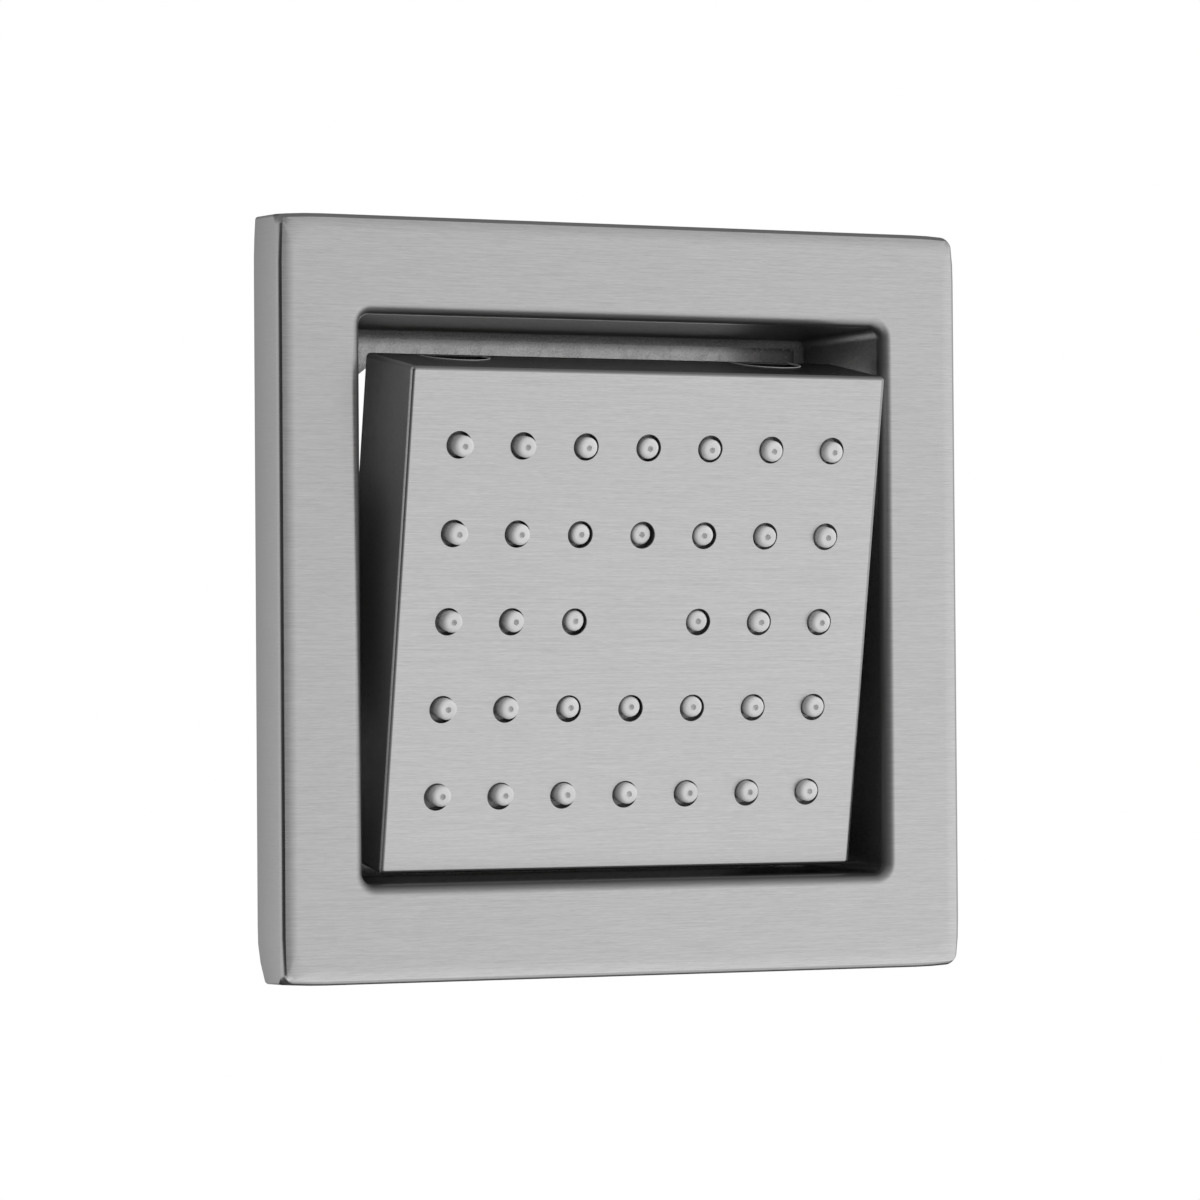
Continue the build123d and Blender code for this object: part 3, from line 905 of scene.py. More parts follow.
# %% Head pose
tilt_joint, pan_joint = frame["joints"]
pan_axis = Vector(pan_joint["axis"])
ball_centre = Vector(tilt_joint["pos_m"])
head_tilt = math.atan2(-pan_axis.y, pan_axis.z)
head_proud = 2.7 * mm
head_front = frame_front - head_proud


def tilt_head(bm):
    """Turns a piece that was built square to the wall into the head's pose."""
    bmesh.ops.rotate(bm, verts=bm.verts, cent=ball_centre, matrix=Matrix.Rotation(head_tilt, 3, "X"))


print("head tilted by", round(math.degrees(head_tilt), 2), "degrees about", tuple(ball_centre))

# %% Nozzle places
columns = 7
rows = 5
column_pitch = 10.75 * mm
row_pitch = 13.7 * mm


def nozzle_places(pitch_x, pitch_z):
    """Places in rows and columns across the head, with none in the middle."""
    places = []
    for row in range(rows):
        for column in range(columns):
            step_x = column - (columns - 1) / 2
            step_z = row - (rows - 1) / 2
            if step_x or step_z:
                places.append((step_x * pitch_x, step_z * pitch_z))
    return places


print("nozzles:", len(nozzle_places(column_pitch, row_pitch)))

# %% Holes and fills
jet_axis = (0, 1, 0)
origin = (0, 0, 0)


def chain(bm, points):
    """Line of (radius, y) points beside the jet's axis. Gives back its points and edges."""
    verts = [bm.verts.new((radius, y, 0)) for radius, y in points]
    return verts + [bm.edges.new(pair) for pair in zip(verts, verts[1:])]


def spun(bm, profile, steps):
    """Surface of a profile spun once round the jet's axis."""
    bmesh.ops.spin(
        bm, geom=chain(bm, profile), cent=origin, axis=jet_axis, angle=full_turn,
        steps=steps, use_merge=True,
    )


def copies_at(bm, places):
    """Copies all that a bmesh holds to each place across the jet, and deletes the pattern."""
    pattern = everything(bm)
    for x, z in places:
        made = bmesh.ops.duplicate(bm, geom=pattern)["geom"]
        bmesh.ops.translate(bm, verts=only_verts(made), vec=(x, 0, z))
    bmesh.ops.delete(bm, geom=only_verts(pattern), context="VERTS")


def open_edges_at(bm, y):
    """Edges with a single face that lie at a depth."""
    return [
        edge for edge in bm.edges
        if edge.is_boundary and all(abs(vert.co.y - y) < merge_distance for vert in edge.verts)
    ]


def fill_faces(bm, *depths):
    """Flat faces at some depths, each between all the open edges there."""
    for y in depths:
        bmesh.ops.triangle_fill(bm, use_beauty=True, use_dissolve=False, edges=open_edges_at(bm, y))


def close_ends(bm):
    """Closes what is still open with one face for each hole."""
    bmesh.ops.holes_fill(bm, edges=[edge for edge in bm.edges if edge.is_boundary], sides=0)


print("hole helpers ready")

# %% Joining and cutting
def combined(bm, tool, operation):
    """Joins or cuts one closed bmesh with another by a Boolean modifier, and gives back the result."""
    parts = []
    for shape in (bm, tool):
        clean(shape)
        mesh = bpy.data.meshes.new("shape")
        shape.to_mesh(mesh)
        shape.free()
        parts.append(bpy.data.objects.new("shape", mesh))
        bpy.context.scene.collection.objects.link(parts[-1])
    boolean = parts[0].modifiers.new("combine", "BOOLEAN")
    boolean.object = parts[1]
    boolean.operation = operation
    boolean.solver = "EXACT"
    made = bpy.data.meshes.new_from_object(parts[0].evaluated_get(bpy.context.evaluated_depsgraph_get()))
    result = bmesh.new()
    result.from_mesh(made)
    for mesh in [part.data for part in parts] + [made]:
        bpy.data.meshes.remove(mesh)
    return result


print("joining and cutting ready")

# %% Notches
head_half_width = 40.9 * mm
head_half_height = 39.4 * mm
head_depth = 18.0 * mm
head_wall = 2.2 * mm
head_back = head_front + head_depth
notch_r = 5.6 * mm
notch_x = 27.3 * mm
notch_y = head_back - 2.4 * mm
notch_web = 0.5 * mm
notch_cut_height = 4 * head_wall
notch_edge = 0.15 * mm
notch_edge_steps = 2
notch_rim = 0.11 * mm
notch_steps = 64
rim_sides = 10
rim_steps = 48
web_front = head_back - notch_web
notch_centres = [Vector((x, notch_y, head_half_height)) for x in (-notch_x, notch_x)]


def notch_cutter():
    """Two upright cylinders at the back of the head's top wall, cut off so that a thin web stays behind."""
    bm = bmesh.new()
    for centre in notch_centres:
        bmesh.ops.create_cone(
            bm, cap_ends=True, segments=notch_steps, radius1=notch_r, radius2=notch_r,
            depth=notch_cut_height, matrix=Matrix.Translation(centre),
        )
    bmesh.ops.bisect_plane(
        bm, geom=everything(bm), plane_co=(0, web_front, 0), plane_no=jet_axis, clear_outer=True,
    )
    close_ends(bm)
    return bm


def soften_notches(bm):
    """Small bevel on the upper rims of the notches."""
    rims = []
    for edge in bm.edges:
        level = all(abs(vert.co.z - head_half_height) < merge_distance for vert in edge.verts)
        inside = all(vert.co.y < head_back - merge_distance for vert in edge.verts)
        if level and inside and edge.calc_face_angle(0.0) > crisp_angle:
            rims.append(edge)
    soften(bm, rims, notch_edge, notch_edge_steps, "EDGES")


def add_notch_rims(bm):
    """Rolled rim round the front of each notch: a small round section, spun from web to web."""
    web_angle = math.asin((web_front - notch_y) / notch_r)
    start = Matrix.Rotation(web_angle, 4, "Z") @ Matrix.Translation((notch_r + notch_rim, 0, 0))
    for centre in notch_centres:
        before = set(bm.faces)
        place = Matrix.Translation(centre) @ start @ lie_across
        ring = bmesh.ops.create_circle(
            bm, cap_ends=True, segments=rim_sides, radius=notch_rim, matrix=place,
        )["verts"]
        section = [face for face in bm.faces if face not in before]
        bmesh.ops.spin(
            bm, geom=ring + section, cent=centre, axis=upwards, angle=-math.pi - 2 * web_angle,
            steps=rim_steps, use_merge=False,
        )


print("notches at", [round(centre.x / mm, 1) for centre in notch_centres], "mm")

# %% Finish of the shell
face_edge_r = 0.6 * mm
straight_ahead = 0.999
level_limit = 0.98
highlight_limit = 0.7
flank_limit = 0.1
notch_shadow_paint = slot_finish["notch_shadow_paint"]
shell_finishes = [face_metal, head_metal, satin_metal, notch_shadow_paint, highlight_edge_metal]


def shell_finish(face):
    """Finish on a face of the shell: brushed front, flanks, top and bottom, notches with painted shadow
    inside, and edges with a painted highlight.
    """
    middle = face.calc_center_median()
    normal = face.normal
    if normal.y < -straight_ahead and middle.y < head_front + merge_distance:
        return face_metal
    from_notch = math.hypot(abs(middle.x) - notch_x, middle.y - notch_y)
    in_top_wall = middle.z > head_half_height - head_wall
    if from_notch < notch_r + notch_edge and middle.y < web_front + merge_distance and in_top_wall:
        # Painted shadow inside the notch.
        if middle.z < head_half_height - notch_edge:
            return notch_shadow_paint
        # Painted highlight on the bevelled upper rim of the notch.
        return highlight_edge_metal if normal.z < level_limit else satin_metal
    in_flank = abs(middle.x) > head_half_width - head_wall
    # Painted highlight on the rounded front edge of each flank.
    if in_flank and middle.y < head_front + face_edge_r:
        return highlight_edge_metal if abs(normal.x) > highlight_limit else satin_metal
    # Painted highlight on the rolled rims round the notches.
    if from_notch < notch_r + 2 * notch_rim and middle.z > head_half_height + merge_distance:
        return highlight_edge_metal
    return head_metal if in_flank and abs(normal.x) > flank_limit else satin_metal


print("finishes of the shell:", len(shell_finishes))

# %% Spray face
head_corner_r = 0.75 * mm
head_inner_corner_r = 0.4 * mm
face_thickness = 2.4 * mm
face_back = head_front + face_thickness
face_edge_steps = 6
hole_r = 2.1 * mm
hole_edge = 0.06 * mm
hole_edge_steps = 3
hole_steps = 32


def hole_profile():
    """Half section of a hole in the face, with a small round at its front."""
    edge = [
        (hole_r + hole_edge * (1 - across), head_front + hole_edge * (1 - along))
        for across, along in quarter(hole_edge_steps)
    ]
    return edge + [(hole_r, face_back)]


def shell_section():
    """Outlines from the rim of the face over its edge, back along the head and in again behind the face."""
    outer = (head_half_width, head_half_height, head_corner_r)
    inner = (head_half_width - head_wall, head_half_height - head_wall, head_inner_corner_r)
    section = []
    for across, along in reversed(quarter(face_edge_steps)):
        sizes = [size - face_edge_r * (1 - along) for size in outer]
        section.append(Outline(*sizes, head_front + face_edge_r * (1 - across)))
    section.append(Outline(*outer, head_back))
    return section + [Outline(*inner, y) for y in (head_back, face_back)]


bm = bmesh.new()
spun(bm, hole_profile(), hole_steps)
copies_at(bm, nozzle_places(column_pitch, row_pitch))
skin(bm, shell_section())
fill_faces(bm, head_front, face_back)
bm = combined(bm, notch_cutter(), "DIFFERENCE")
soften_notches(bm)
add_notch_rims(bm)
bmesh.ops.recalc_face_normals(bm, faces=bm.faces)
lay_finishes(bm, shell_finishes, shell_finish)
tilt_head(bm)
make_piece(bm, "spray_shell", "head", "brushed_metal", "spray_face", shell_finishes)

# %% [markdown]
# ## The nozzle mat
# One soft moulding lies behind the face and sends a nozzle through every hole. Water pressure and the
# screws have bowed it, so the outer nozzles stand proud and those in the middle sit level with the face.
# A lattice could bend the finished mat, but it would bend the flat root too. So every nozzle has the same
# spun profile, a dome with a small dimple, and its points move by the bow at their place.

# %% Nozzle mat
mat_thickness = 1.6 * mm
mat_gap = 0.25 * mm
mat_corner_r = 3.0 * mm
mat_pitch_loss = 0.1 * mm
mat_rise = 0.08 * mm
mat_slip = 0.12 * mm
mat_bow = 2.1 * mm
bow_half_width = 32.25 * mm
bow_half_height = 32.4 * mm
bow_rise = 5.0 * mm
nozzle_r = 1.63 * mm
nozzle_reach = 1.45 * mm
nozzle_steps = 28
tip_flat_r = 1.0 * mm
dome_steps = 7
dimple_r = 0.48 * mm
dimple_depth = 0.8 * mm
dimple_steps = 4


def bow_at(x, z):
    """How far the mat has bowed back at a place."""
    across = max(0.0, 1 - (x / bow_half_width) ** 2)
    upright = max(0.0, 1 - ((z - bow_rise) / bow_half_height) ** 2)
    return mat_bow * across**3 * upright


def nozzle_profile():
    """Half section of a nozzle from its root over the dome and into the dimple."""
    tip = head_front - nozzle_reach
    dome = nozzle_r - tip_flat_r
    points = [(nozzle_r, face_back)]
    for across, along in quarter(dome_steps):
        points.append((tip_flat_r + dome * along, tip + dome * (1 - across)))
    for across, along in quarter(dimple_steps):
        points.append((dimple_r * along, tip + dimple_depth * across))
    return points


bm = bmesh.new()
spun(bm, nozzle_profile(), nozzle_steps)
places = nozzle_places(column_pitch - mat_pitch_loss, row_pitch - mat_pitch_loss)
copies_at(bm, [(x + mat_slip, z + mat_rise) for x, z in places])
for vert in bm.verts:
    if vert.co.y < face_back - merge_distance:
        vert.co.y += bow_at(vert.co.x, vert.co.z)
mat = (head_half_width - head_wall - mat_gap, head_half_height - head_wall - mat_gap, mat_corner_r)
back_loop = skin(bm, [Outline(*mat, y) for y in (face_back, face_back + mat_thickness)])
fill_faces(bm, face_back)
bmesh.ops.contextual_create(bm, geom=back_loop)
tilt_head(bm)
make_piece(bm, "nozzle_moulding", "head", "silicone", "nozzle_mat")

# %% [markdown]
# ## The foam ring
# A ring of closed-cell foam fills the hollow of the frame and is pressed against the wall. A ring with a
# square section would look like a plank, so its edges are well rounded, and its back is dented a little by
# noise that is the same on every run, as cut foam is never quite flat.

# %% Foam ring
foam_front = frame_front + front_wall
foam_back = 0.0
foam_gap = 0.6 * mm
foam_round = 1.6 * mm
foam_round_steps = 5
foam_dent = 0.35 * mm
foam_corner_steps = 6
foam_side_cuts = 48
dents_per_metre = 130.0


def foam_section():
    """Outlines round the section of the foam, from its front over the outside and back on the inside."""
    outer_half = frame_half - frame_wall - foam_gap
    grow = well_wall + foam_gap
    inner = (opening_half_width + grow, opening_half_height + grow, opening_corner_r + well_wall)
    section = [Outline(outer_half, outer_half, hollow_corner_r, foam_front)]
    for across, along in quarter(foam_round_steps):
        half = outer_half - foam_round * (1 - along)
        corner_r = hollow_corner_r * (1 - across / 2)
        section.append(Outline(half, half, corner_r, foam_back - foam_round * (1 - across)))
    for across, along in reversed(quarter(foam_round_steps)):
        sizes = [size + foam_round * (1 - along) for size in inner]
        section.append(Outline(*sizes, foam_back - foam_round * (1 - across)))
    section.append(Outline(*inner, foam_front))
    return section + section[:1]


bm = bmesh.new()
skin(bm, foam_section(), foam_corner_steps, foam_side_cuts)
clean(bm)
for vert in bm.verts:
    if vert.co.y > foam_back - foam_round:
        vert.co.y -= foam_dent * abs(noise.noise(vert.co * dents_per_metre))
make_piece(bm, "foam_ring", "wall_side", "foam", "wall_gasket")

# %% [markdown]
# ## The strap
# A folded steel strap bridges the open back of the well and carries the inlet. It could be folded from one
# sheet, but a flat with holes is easier to keep flat by itself. So the flat is outlined, pierced and filled
# as the spray face was. Its two flanges are short sections, extruded along the strap, with a bevelled
# corner for the inside of each bend, and then joined to the flat.

# %% Strap flanges
strap_front = lip_back
strap_back = strap_front + 3.0 * mm
strap_tip = strap_front + 8.0 * mm
strap_half_height = 18.5 * mm
flange_half_length = 31.0 * mm
flange_wall = 3.0 * mm
flange_bend_r = 1.0 * mm
flange_soft = 0.6 * mm
flange_round_steps = 4


def strap_flange(side):
    """One flange: its section from the end of the strap, with the bend rounded, drawn out sideways."""
    bm = bmesh.new()
    root = strap_back - flange_wall / 2
    inner = strap_half_height - flange_wall
    outer = strap_half_height - 2 * merge_distance
    foot = inner - 2 * flange_bend_r
    corners = [(root, foot), (strap_back, foot), (strap_back, inner)]
    corners += [(strap_tip, inner), (strap_tip, outer), (root, outer)]
    verts = [bm.verts.new((-flange_half_length, y, side * z)) for y, z in corners]
    bm.faces.new(verts)
    for rounded, offset in ((verts[2:3], flange_bend_r), (verts[3:5], flange_soft)):
        soften(bm, rounded, offset, flange_round_steps, "VERTICES")
    drawn = bmesh.ops.extrude_face_region(bm, geom=bm.faces[:])["geom"]
    bmesh.ops.translate(bm, verts=only_verts(drawn), vec=(2 * flange_half_length, 0, 0))
    return bm


print("flanges reach back to", round(strap_tip / mm, 1), "mm")

# %% Strap
strap_half_length = 46.23 * mm
strap_corner_r = 4.0 * mm
strap_soft = 0.35 * mm
strap_hole_r = 11.2 * mm
strap_hole_steps = 72
screw_hole_r = 1.55 * mm
screw_steps = 24
screw_from_lip = 4.6 * mm
bridge_screw_z = 10.5 * mm


def four_places(x, z):
    """The same place in each of the four quarters."""
    return [(-x, -z), (-x, z), (x, -z), (x, z)]


def soft_plate(bm, half_width, half_height, corner_r, soft, front, back):
    """Edges of a plate with small rounds at its front and back, ready to be filled."""
    full = (half_width, half_height, corner_r)
    drawn_in = [size - soft for size in full]
    edge = [Outline(*full, front + soft), Outline(*full, back - soft)]
    skin(bm, [Outline(*drawn_in, front), *edge, Outline(*drawn_in, back)])


bridge_screw_places = four_places(lip_half_width + screw_from_lip, bridge_screw_z)
bm = bmesh.new()
spun(bm, [(screw_hole_r, strap_front), (screw_hole_r, strap_back)], screw_steps)
copies_at(bm, bridge_screw_places)
spun(bm, [(strap_hole_r, strap_front), (strap_hole_r, strap_back)], strap_hole_steps)
soft_plate(bm, strap_half_length, strap_half_height, strap_corner_r, strap_soft, strap_front, strap_back)
fill_faces(bm, strap_front, strap_back)
for side in (-1, 1):
    bm = combined(bm, strap_flange(side), "UNION")
make_piece(bm, "folded_strap", "wall_side", "plated_steel", "bridge_strap")

# %% [markdown]
# ## Turned and milled pieces
# The inlet, its nut and the screws are turned. A turned piece is a half section spun round the jet's axis.
# Six-sided prisms could stand for the nuts, but they would lack the curved chamfers of a real one. So the
# flats are milled on the turned piece, by drawing its points in to the sides of a polygon, and the chamfers
# appear where the flats meet the turned cone. A thread is a small section that moves along the axis while
# it is spun, is cut off square at both ends and fades out there.

# %% Turned and milled bar
bar_end_share = 0.48
bar_cone_slope = 0.5
bar_cone_steps = 5
hexagon_sides = 6


def from_axis(vert):
    """Distance of a point from the jet's axis."""
    return math.hypot(vert.co.x, vert.co.z)


def milled(bm, sides, across_flats, outside_r):
    """Draws the points outside a radius in to the flats of a regular bar."""
    turn = full_turn / sides
    for vert in bm.verts:
        radius = from_axis(vert)
        if radius > outside_r:
            angle = math.atan2(vert.co.z, vert.co.x) % turn - turn / 2
            share = min(1.0, across_flats / 2 / math.cos(angle) / radius)
            vert.co.x *= share
            vert.co.z *= share


def bar_section(across_flats, front, back):
    """Half section of the outside of hexagon bar, whose corners are turned off at both ends."""
    end_r = bar_end_share * across_flats
    cone_width = across_flats / math.sqrt(3) - end_r
    steps = [cone_width * step / bar_cone_steps for step in range(bar_cone_steps + 1)]
    cone = [(end_r + out, bar_cone_slope * out) for out in steps]
    return [(r, front + y) for r, y in cone] + [(r, back - y) for r, y in reversed(cone)]


def ball_arc(radius, start, end, steps):
    """Points (radius, y) round the ball's centre, from one angle to another."""
    angles = [start + (end - start) * step / steps for step in range(steps + 1)]
    return [(radius * math.sin(angle), ball_centre.y + radius * math.cos(angle)) for angle in angles]


print("bar helpers ready")

# %% Threads
thread_depth_share = 0.64
thread_flanks = ((0.0, 0.0), (0.1, 0.0), (0.45, 1.0), (0.65, 1.0), (1.0, 0.0))


def fade_thread(bm, root_r, first, last, step):
    """Brings both ends of a thread down to a plain circle of even steps at its root."""
    for vert in bm.verts:
        from_end = max(0.0, min(vert.co.y - first, last - vert.co.y))
        radius = min(from_axis(vert), root_r + from_end)
        angle = math.atan2(vert.co.z, vert.co.x)
        if from_end < merge_distance:
            angle = round(angle / step) * step
            radius = root_r
        vert.co.x = radius * math.cos(angle)
        vert.co.z = radius * math.sin(angle)
    bmesh.ops.remove_doubles(bm, verts=bm.verts, dist=merge_distance)
    bmesh.ops.dissolve_degenerate(bm, dist=merge_distance, edges=bm.edges)


def thread_sleeve(bm, crest_r, pitch, first, last, steps):
    """Helical thread in an empty bmesh, fading out at both ends. Gives back the radius of its root."""
    depth = thread_depth_share * pitch
    root_r = crest_r - depth
    flanks = [(root_r + depth * out, first + (along - 1) * pitch) for along, out in thread_flanks]
    turns = math.ceil((last - first) / pitch) + 2
    bmesh.ops.spin(
        bm, geom=chain(bm, flanks), cent=origin, axis=jet_axis, dvec=(0, pitch / steps, 0),
        angle=full_turn * turns, steps=steps * turns, use_merge=False,
    )
    bmesh.ops.remove_doubles(bm, verts=bm.verts, dist=merge_distance)
    for end, side in ((first, -1), (last, 1)):
        for cut, cleared in ((end, True), (end - side * depth, False)):
            bmesh.ops.bisect_plane(
                bm, geom=everything(bm), dist=merge_distance, plane_co=(0, cut, 0), plane_no=(0, side, 0),
                clear_outer=cleared,
            )
    fade_thread(bm, root_r, first, last, full_turn / steps)
    return root_r


print("thread helpers ready")

# %% Inlet
ball_r = 8.5 * mm
ball_steps = 16
water_bore_r = 4.2 * mm
inlet_neck_r = 5.4 * mm
neck_flare = 1.4 * mm
shoulder_across = 26.0 * mm
shoulder_front = strap_front - 3.8 * mm
shoulder_back = strap_front - 1.0 * mm
clamp_r = 11.0 * mm
clamp_back = strap_front + 10.0 * mm
tail_r = 10.478 * mm
tail_pitch = 1.814 * mm
tail_front = clamp_back + 1.0 * mm
tail_back = tail_front + 14.0 * mm
tail_bore_r = 7.0 * mm
tail_bore_front = tail_back - 10.0 * mm
turned_steps = 72
edge_break = 0.4 * mm


def inlet_section(root_r):
    """Half section of the inlet from the start of its thread, round ball and bore, to the thread's end."""
    neck_angle = math.asin(inlet_neck_r / ball_r)
    bore_angle = math.pi - math.asin(water_bore_r / ball_r)
    points = [(root_r, tail_front), (root_r, clamp_back + edge_break)]
    points += [(clamp_r, clamp_back - edge_break), (clamp_r, shoulder_back)]
    points += reversed(bar_section(shoulder_across, shoulder_front, shoulder_back))
    points += [(inlet_neck_r + neck_flare, shoulder_front), (inlet_neck_r, shoulder_front - neck_flare)]
    points += ball_arc(ball_r, neck_angle, bore_angle, ball_steps)
    points += [(water_bore_r, tail_bore_front), (tail_bore_r, tail_bore_front)]
    points += [(tail_bore_r, tail_back - edge_break), (tail_bore_r + edge_break, tail_back)]
    return points + [(root_r, tail_back)]


bm = bmesh.new()
tail_root_r = thread_sleeve(bm, tail_r, tail_pitch, tail_front, tail_back, turned_steps)
spun(bm, inlet_section(tail_root_r), turned_steps)
milled(bm, hexagon_sides, shoulder_across, clamp_r + edge_break)
make_piece(bm, "threaded_inlet", "wall_side", "brass", "ball_inlet")

# %% Clamp nut
nut_across = 28.0 * mm
nut_front = strap_back + 1.0 * mm
nut_back = clamp_back
nut_bore_r = 11.05 * mm
nut_flare_r = nut_bore_r + 0.6 * mm
nut_milled_r = 0.47 * nut_across

bore_start = (nut_bore_r, nut_front + edge_break)
section = [bore_start, (nut_flare_r, nut_front)]
section += bar_section(nut_across, nut_front, nut_back)
section += [(nut_flare_r, nut_back), (nut_bore_r, nut_back - edge_break), bore_start]
bm = bmesh.new()
spun(bm, section, turned_steps)
milled(bm, hexagon_sides, nut_across, nut_milled_r)
make_piece(bm, "clamp_nut", "wall_side", "brass", "inlet_lock_nut")

# %% Split washer
ring_round_steps = 3


def soft_ring(bm, inner_r, outer_r, front, back, soft, steps, split=0.0):
    """Ring with soft edges about the jet's axis in an empty bmesh, whole or split by a gap."""
    middle = Matrix.Translation(((inner_r + outer_r) / 2, (front + back) / 2, 0))
    size = Matrix.Diagonal(((outer_r - inner_r) / 2, (back - front) / 2, 1, 1))
    soften(bm, flat_rectangle(bm, middle @ size), soft, ring_round_steps, "VERTICES")
    bmesh.ops.delete(bm, geom=bm.faces[:], context="FACES_ONLY")
    gap = split / outer_r
    bmesh.ops.rotate(bm, verts=bm.verts, cent=origin, matrix=Matrix.Rotation(gap / 2, 3, "Y"))
    bmesh.ops.spin(
        bm, geom=bm.verts[:] + bm.edges[:], cent=origin, axis=jet_axis, angle=full_turn - gap,
        steps=steps, use_merge=not split,
    )
    if split:
        close_ends(bm)


bm = bmesh.new()
soft_ring(bm, nut_bore_r, nut_across / 2, strap_back, nut_front, soft=0.2 * mm, steps=70, split=1.0 * mm)
make_piece(bm, "split_washer", "wall_side", "plated_steel", "lock_washer")

# %% Strap screws and their washers
screw_r = 1.5 * mm
screw_pitch = 0.5 * mm
screw_across = 5.0 * mm
screw_head_height = 1.8 * mm
screw_milled_r = 1.2 * screw_r
washer_height = 0.8 * mm
washer_back = strap_back + washer_height
bridge_screw_shank = washer_height + 6.0 * mm


def hexagon_screws(seat, shank, places):
    """Screws at some places, each with its head behind a seat and its threaded shank going forwards."""
    bm = bmesh.new()
    tip = seat - shank
    head_end = seat + screw_head_height
    root_r = thread_sleeve(bm, screw_r, screw_pitch, tip, seat - edge_break, screw_steps)
    section = [(root_r, seat - edge_break), (screw_r, seat)]
    section += bar_section(screw_across, seat, head_end)
    spun(bm, section + [(0, head_end)], screw_steps)
    spun(bm, [(0, tip), (root_r, tip)], screw_steps)
    milled(bm, hexagon_sides, screw_across, screw_milled_r)
    copies_at(bm, places)
    return bm


bm = hexagon_screws(washer_back, bridge_screw_shank, bridge_screw_places)
make_piece(bm, "strap_screws", "wall_side", "plated_steel", "bridge_screws")
bm = bmesh.new()
soft_ring(
    bm, screw_hole_r, screw_across / 2, strap_back, washer_back, soft=0.12 * mm, steps=32, split=0.5 * mm,
)
copies_at(bm, bridge_screw_places)
make_piece(bm, "spring_washers", "wall_side", "plated_steel", "screw_washers")

# %% [markdown]
# ## The screen in the mouth of the inlet
# A cone of wire mesh keeps grit out, held by a rubber ring. A picture of a mesh could be laid on a plain
# cone, but nothing could be seen through it. So a flat grid is cut to a circle, raised to a cone and turned
# into wires by the wireframe operator.

# %% Screen and its ring
screen_r = 6.95 * mm
screen_meshes = 22
screen_rim = tail_bore_front + 4.0 * mm
screen_rise = 1.6 * mm
screen_wire = 0.22 * mm
ring_wall = 1.6 * mm
ring_front = screen_rim + 0.6 * mm
ring_back = ring_front + 3.0 * mm
ring_inner_r = screen_r - ring_wall

bm = bmesh.new()
lie = Matrix.Translation((0, screen_rim + screen_wire, 0)) @ lie_across
bmesh.ops.create_grid(bm, x_segments=screen_meshes, y_segments=screen_meshes, size=screen_r, matrix=lie)
outside = [vert for vert in bm.verts if from_axis(vert) > screen_r - screen_wire]
bmesh.ops.delete(bm, geom=outside, context="VERTS")
for vert in bm.verts:
    vert.co.y += screen_rise * max(0.0, 1 - from_axis(vert) / ring_inner_r)
bmesh.ops.wireframe(
    bm, faces=bm.faces[:], thickness=screen_wire, use_replace=True, use_boundary=True, use_even_offset=True,
)
make_piece(bm, "mesh_cone", "wall_side", "plated_steel", "filter_screen")
bm = bmesh.new()
soft_ring(bm, ring_inner_r, screen_r, ring_front, ring_back, soft=0.5 * mm, steps=64)
make_piece(bm, "screen_ring", "wall_side", "black_rubber", "filter_ring")

# %% [markdown]
# ## The back of the head
# A ribbed plastic cover closes the water chamber, and a grip collar holds the ball in the cover's neck.
# Both could be modelled where they stand, aslant, but they are easier to build square to the wall and to
# tilt with the head. The collar is turned like the nut and gets twelve flats.

# %% Cover ribs
cover_front = head_front + 11.0 * mm
cover_back = head_front + 14.0 * mm
cover_screw_x = 35.563 * mm
cover_screw_z = 34.063 * mm
rib_start = 16.7 * mm
rib_wall = 1.6 * mm
rib_height = 2.5 * mm
rib_sunk = 1.25 * mm
rib_soft = 0.5 * mm
rib_round_steps = 3


def cover_ribs():
    """Eight ribs that run out from the collar, with rounded tops, sunk a little into the cover."""
    bm = bmesh.new()
    diagonal = math.hypot(cover_screw_x, cover_screw_z) - screw_across
    ends = [cover_screw_x, diagonal, cover_screw_z, diagonal] * 2
    for number, end in enumerate(ends):
        turn = Matrix.Rotation(-full_turn * number / len(ends), 4, "Y")
        middle = Matrix.Translation(((rib_start + end) / 2, cover_back + (rib_height - rib_sunk) / 2, 0))
        size = Matrix.Diagonal((end - rib_start, rib_height + rib_sunk, rib_wall, 1))
        bmesh.ops.create_cube(bm, size=1.0, matrix=turn @ middle @ size)
    top = cover_back + rib_height - merge_distance
    edges = [edge for edge in bm.edges if all(vert.co.y > top for vert in edge.verts)]
    soften(bm, edges, rib_soft, rib_round_steps, "EDGES")
    return bm


print("ribs start", round(rib_start / mm, 1), "mm from the axis")

# %% Back cover
cover_half_width = 38.45 * mm
cover_half_height = 36.95 * mm
cover_corner_r = 1.0 * mm
seat_r = 6.0 * mm
socket_neck_r = 12.8 * mm
socket_bore_r = 10.8 * mm
socket_back = cover_back + 8.0 * mm

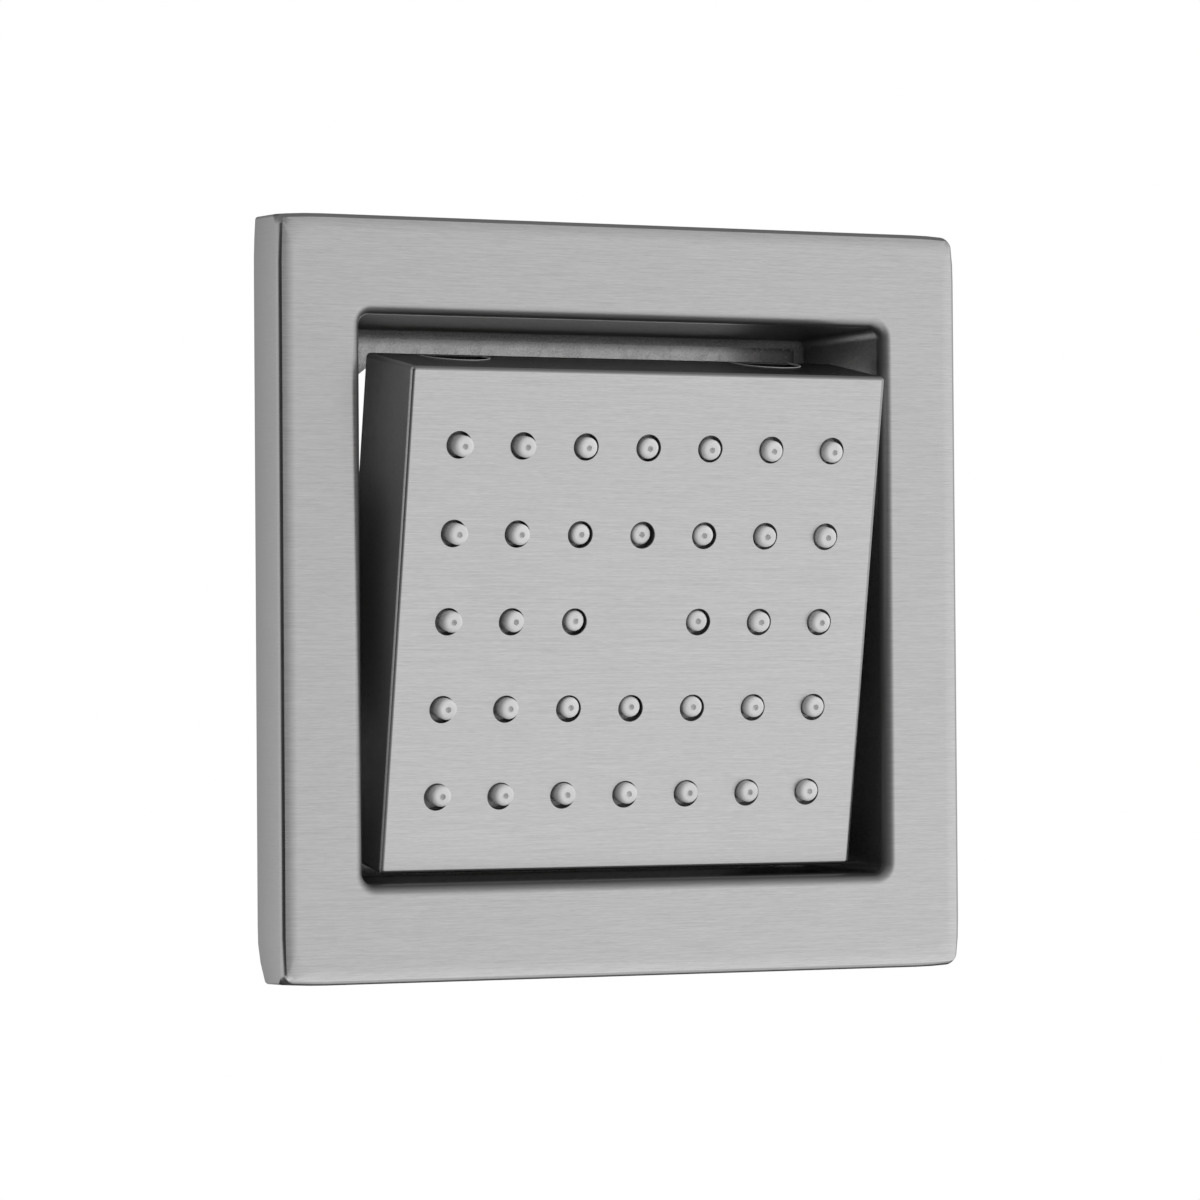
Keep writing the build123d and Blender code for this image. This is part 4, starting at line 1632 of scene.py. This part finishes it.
cover_screw_places = four_places(cover_screw_x, cover_screw_z)
neck = [(socket_neck_r, cover_back), (socket_neck_r, socket_back), (socket_bore_r, socket_back)]
neck += [(socket_bore_r, cover_back), (seat_r, cover_back), (seat_r, cover_front)]
bm = bmesh.new()
spun(bm, [(screw_hole_r, cover_back), (screw_hole_r, cover_front)], screw_steps)
copies_at(bm, cover_screw_places)
spun(bm, neck, turned_steps)
soft_plate(bm, cover_half_width, cover_half_height, cover_corner_r, edge_break, cover_front, cover_back)
fill_faces(bm, cover_front, cover_back)
bm = combined(bm, cover_ribs(), "UNION")
tilt_head(bm)
make_piece(bm, "ribbed_cover", "head", "dark_plastic", "back_cover")

# %% Collar
collar_r = 15.1 * mm
collar_sides = 12
collar_across = 2 * collar_r * math.cos(math.pi / collar_sides)
collar_bore_r = 12.9 * mm
collar_front = cover_back + 0.4 * mm
collar_back = collar_front + 12.8 * mm
collar_cone = 3.7 * mm
collar_rim_r = 11.17 * mm
collar_lip_r = 8.97 * mm
cage_r = 10.7 * mm
cage_steps = 6
shoulder_gap = 0.25 * mm


def collar_section():
    """Half section of the collar, with the hollow that the slip ring turns in."""
    shoulder = socket_back + shoulder_gap
    lip_angle = math.asin(collar_lip_r / cage_r)
    shoulder_angle = math.acos((shoulder - ball_centre.y) / cage_r)
    section = [(collar_bore_r, collar_front), (collar_r - edge_break, collar_front)]
    section += [(collar_r, collar_front + edge_break), (collar_r, collar_back - collar_cone)]
    section += [(collar_rim_r + edge_break, collar_back - edge_break), (collar_rim_r, collar_back)]
    section += [(collar_lip_r + edge_break, collar_back), (collar_lip_r, collar_back - edge_break)]
    section += ball_arc(cage_r, lip_angle, shoulder_angle, cage_steps)
    return section + [(collar_bore_r, shoulder), (collar_bore_r, collar_front)]


bm = bmesh.new()
spun(bm, collar_section(), turned_steps)
milled(bm, collar_sides, collar_across, collar_bore_r + edge_break)
tilt_head(bm)
make_piece(bm, "grip_collar", "head", "dark_plastic", "collar_nut")

# %% Cover screws
cover_screw_shank = 9.0 * mm

bm = hexagon_screws(cover_back, cover_screw_shank, cover_screw_places)
tilt_head(bm)
make_piece(bm, "head_screws", "head", "plated_steel", "cover_screws")
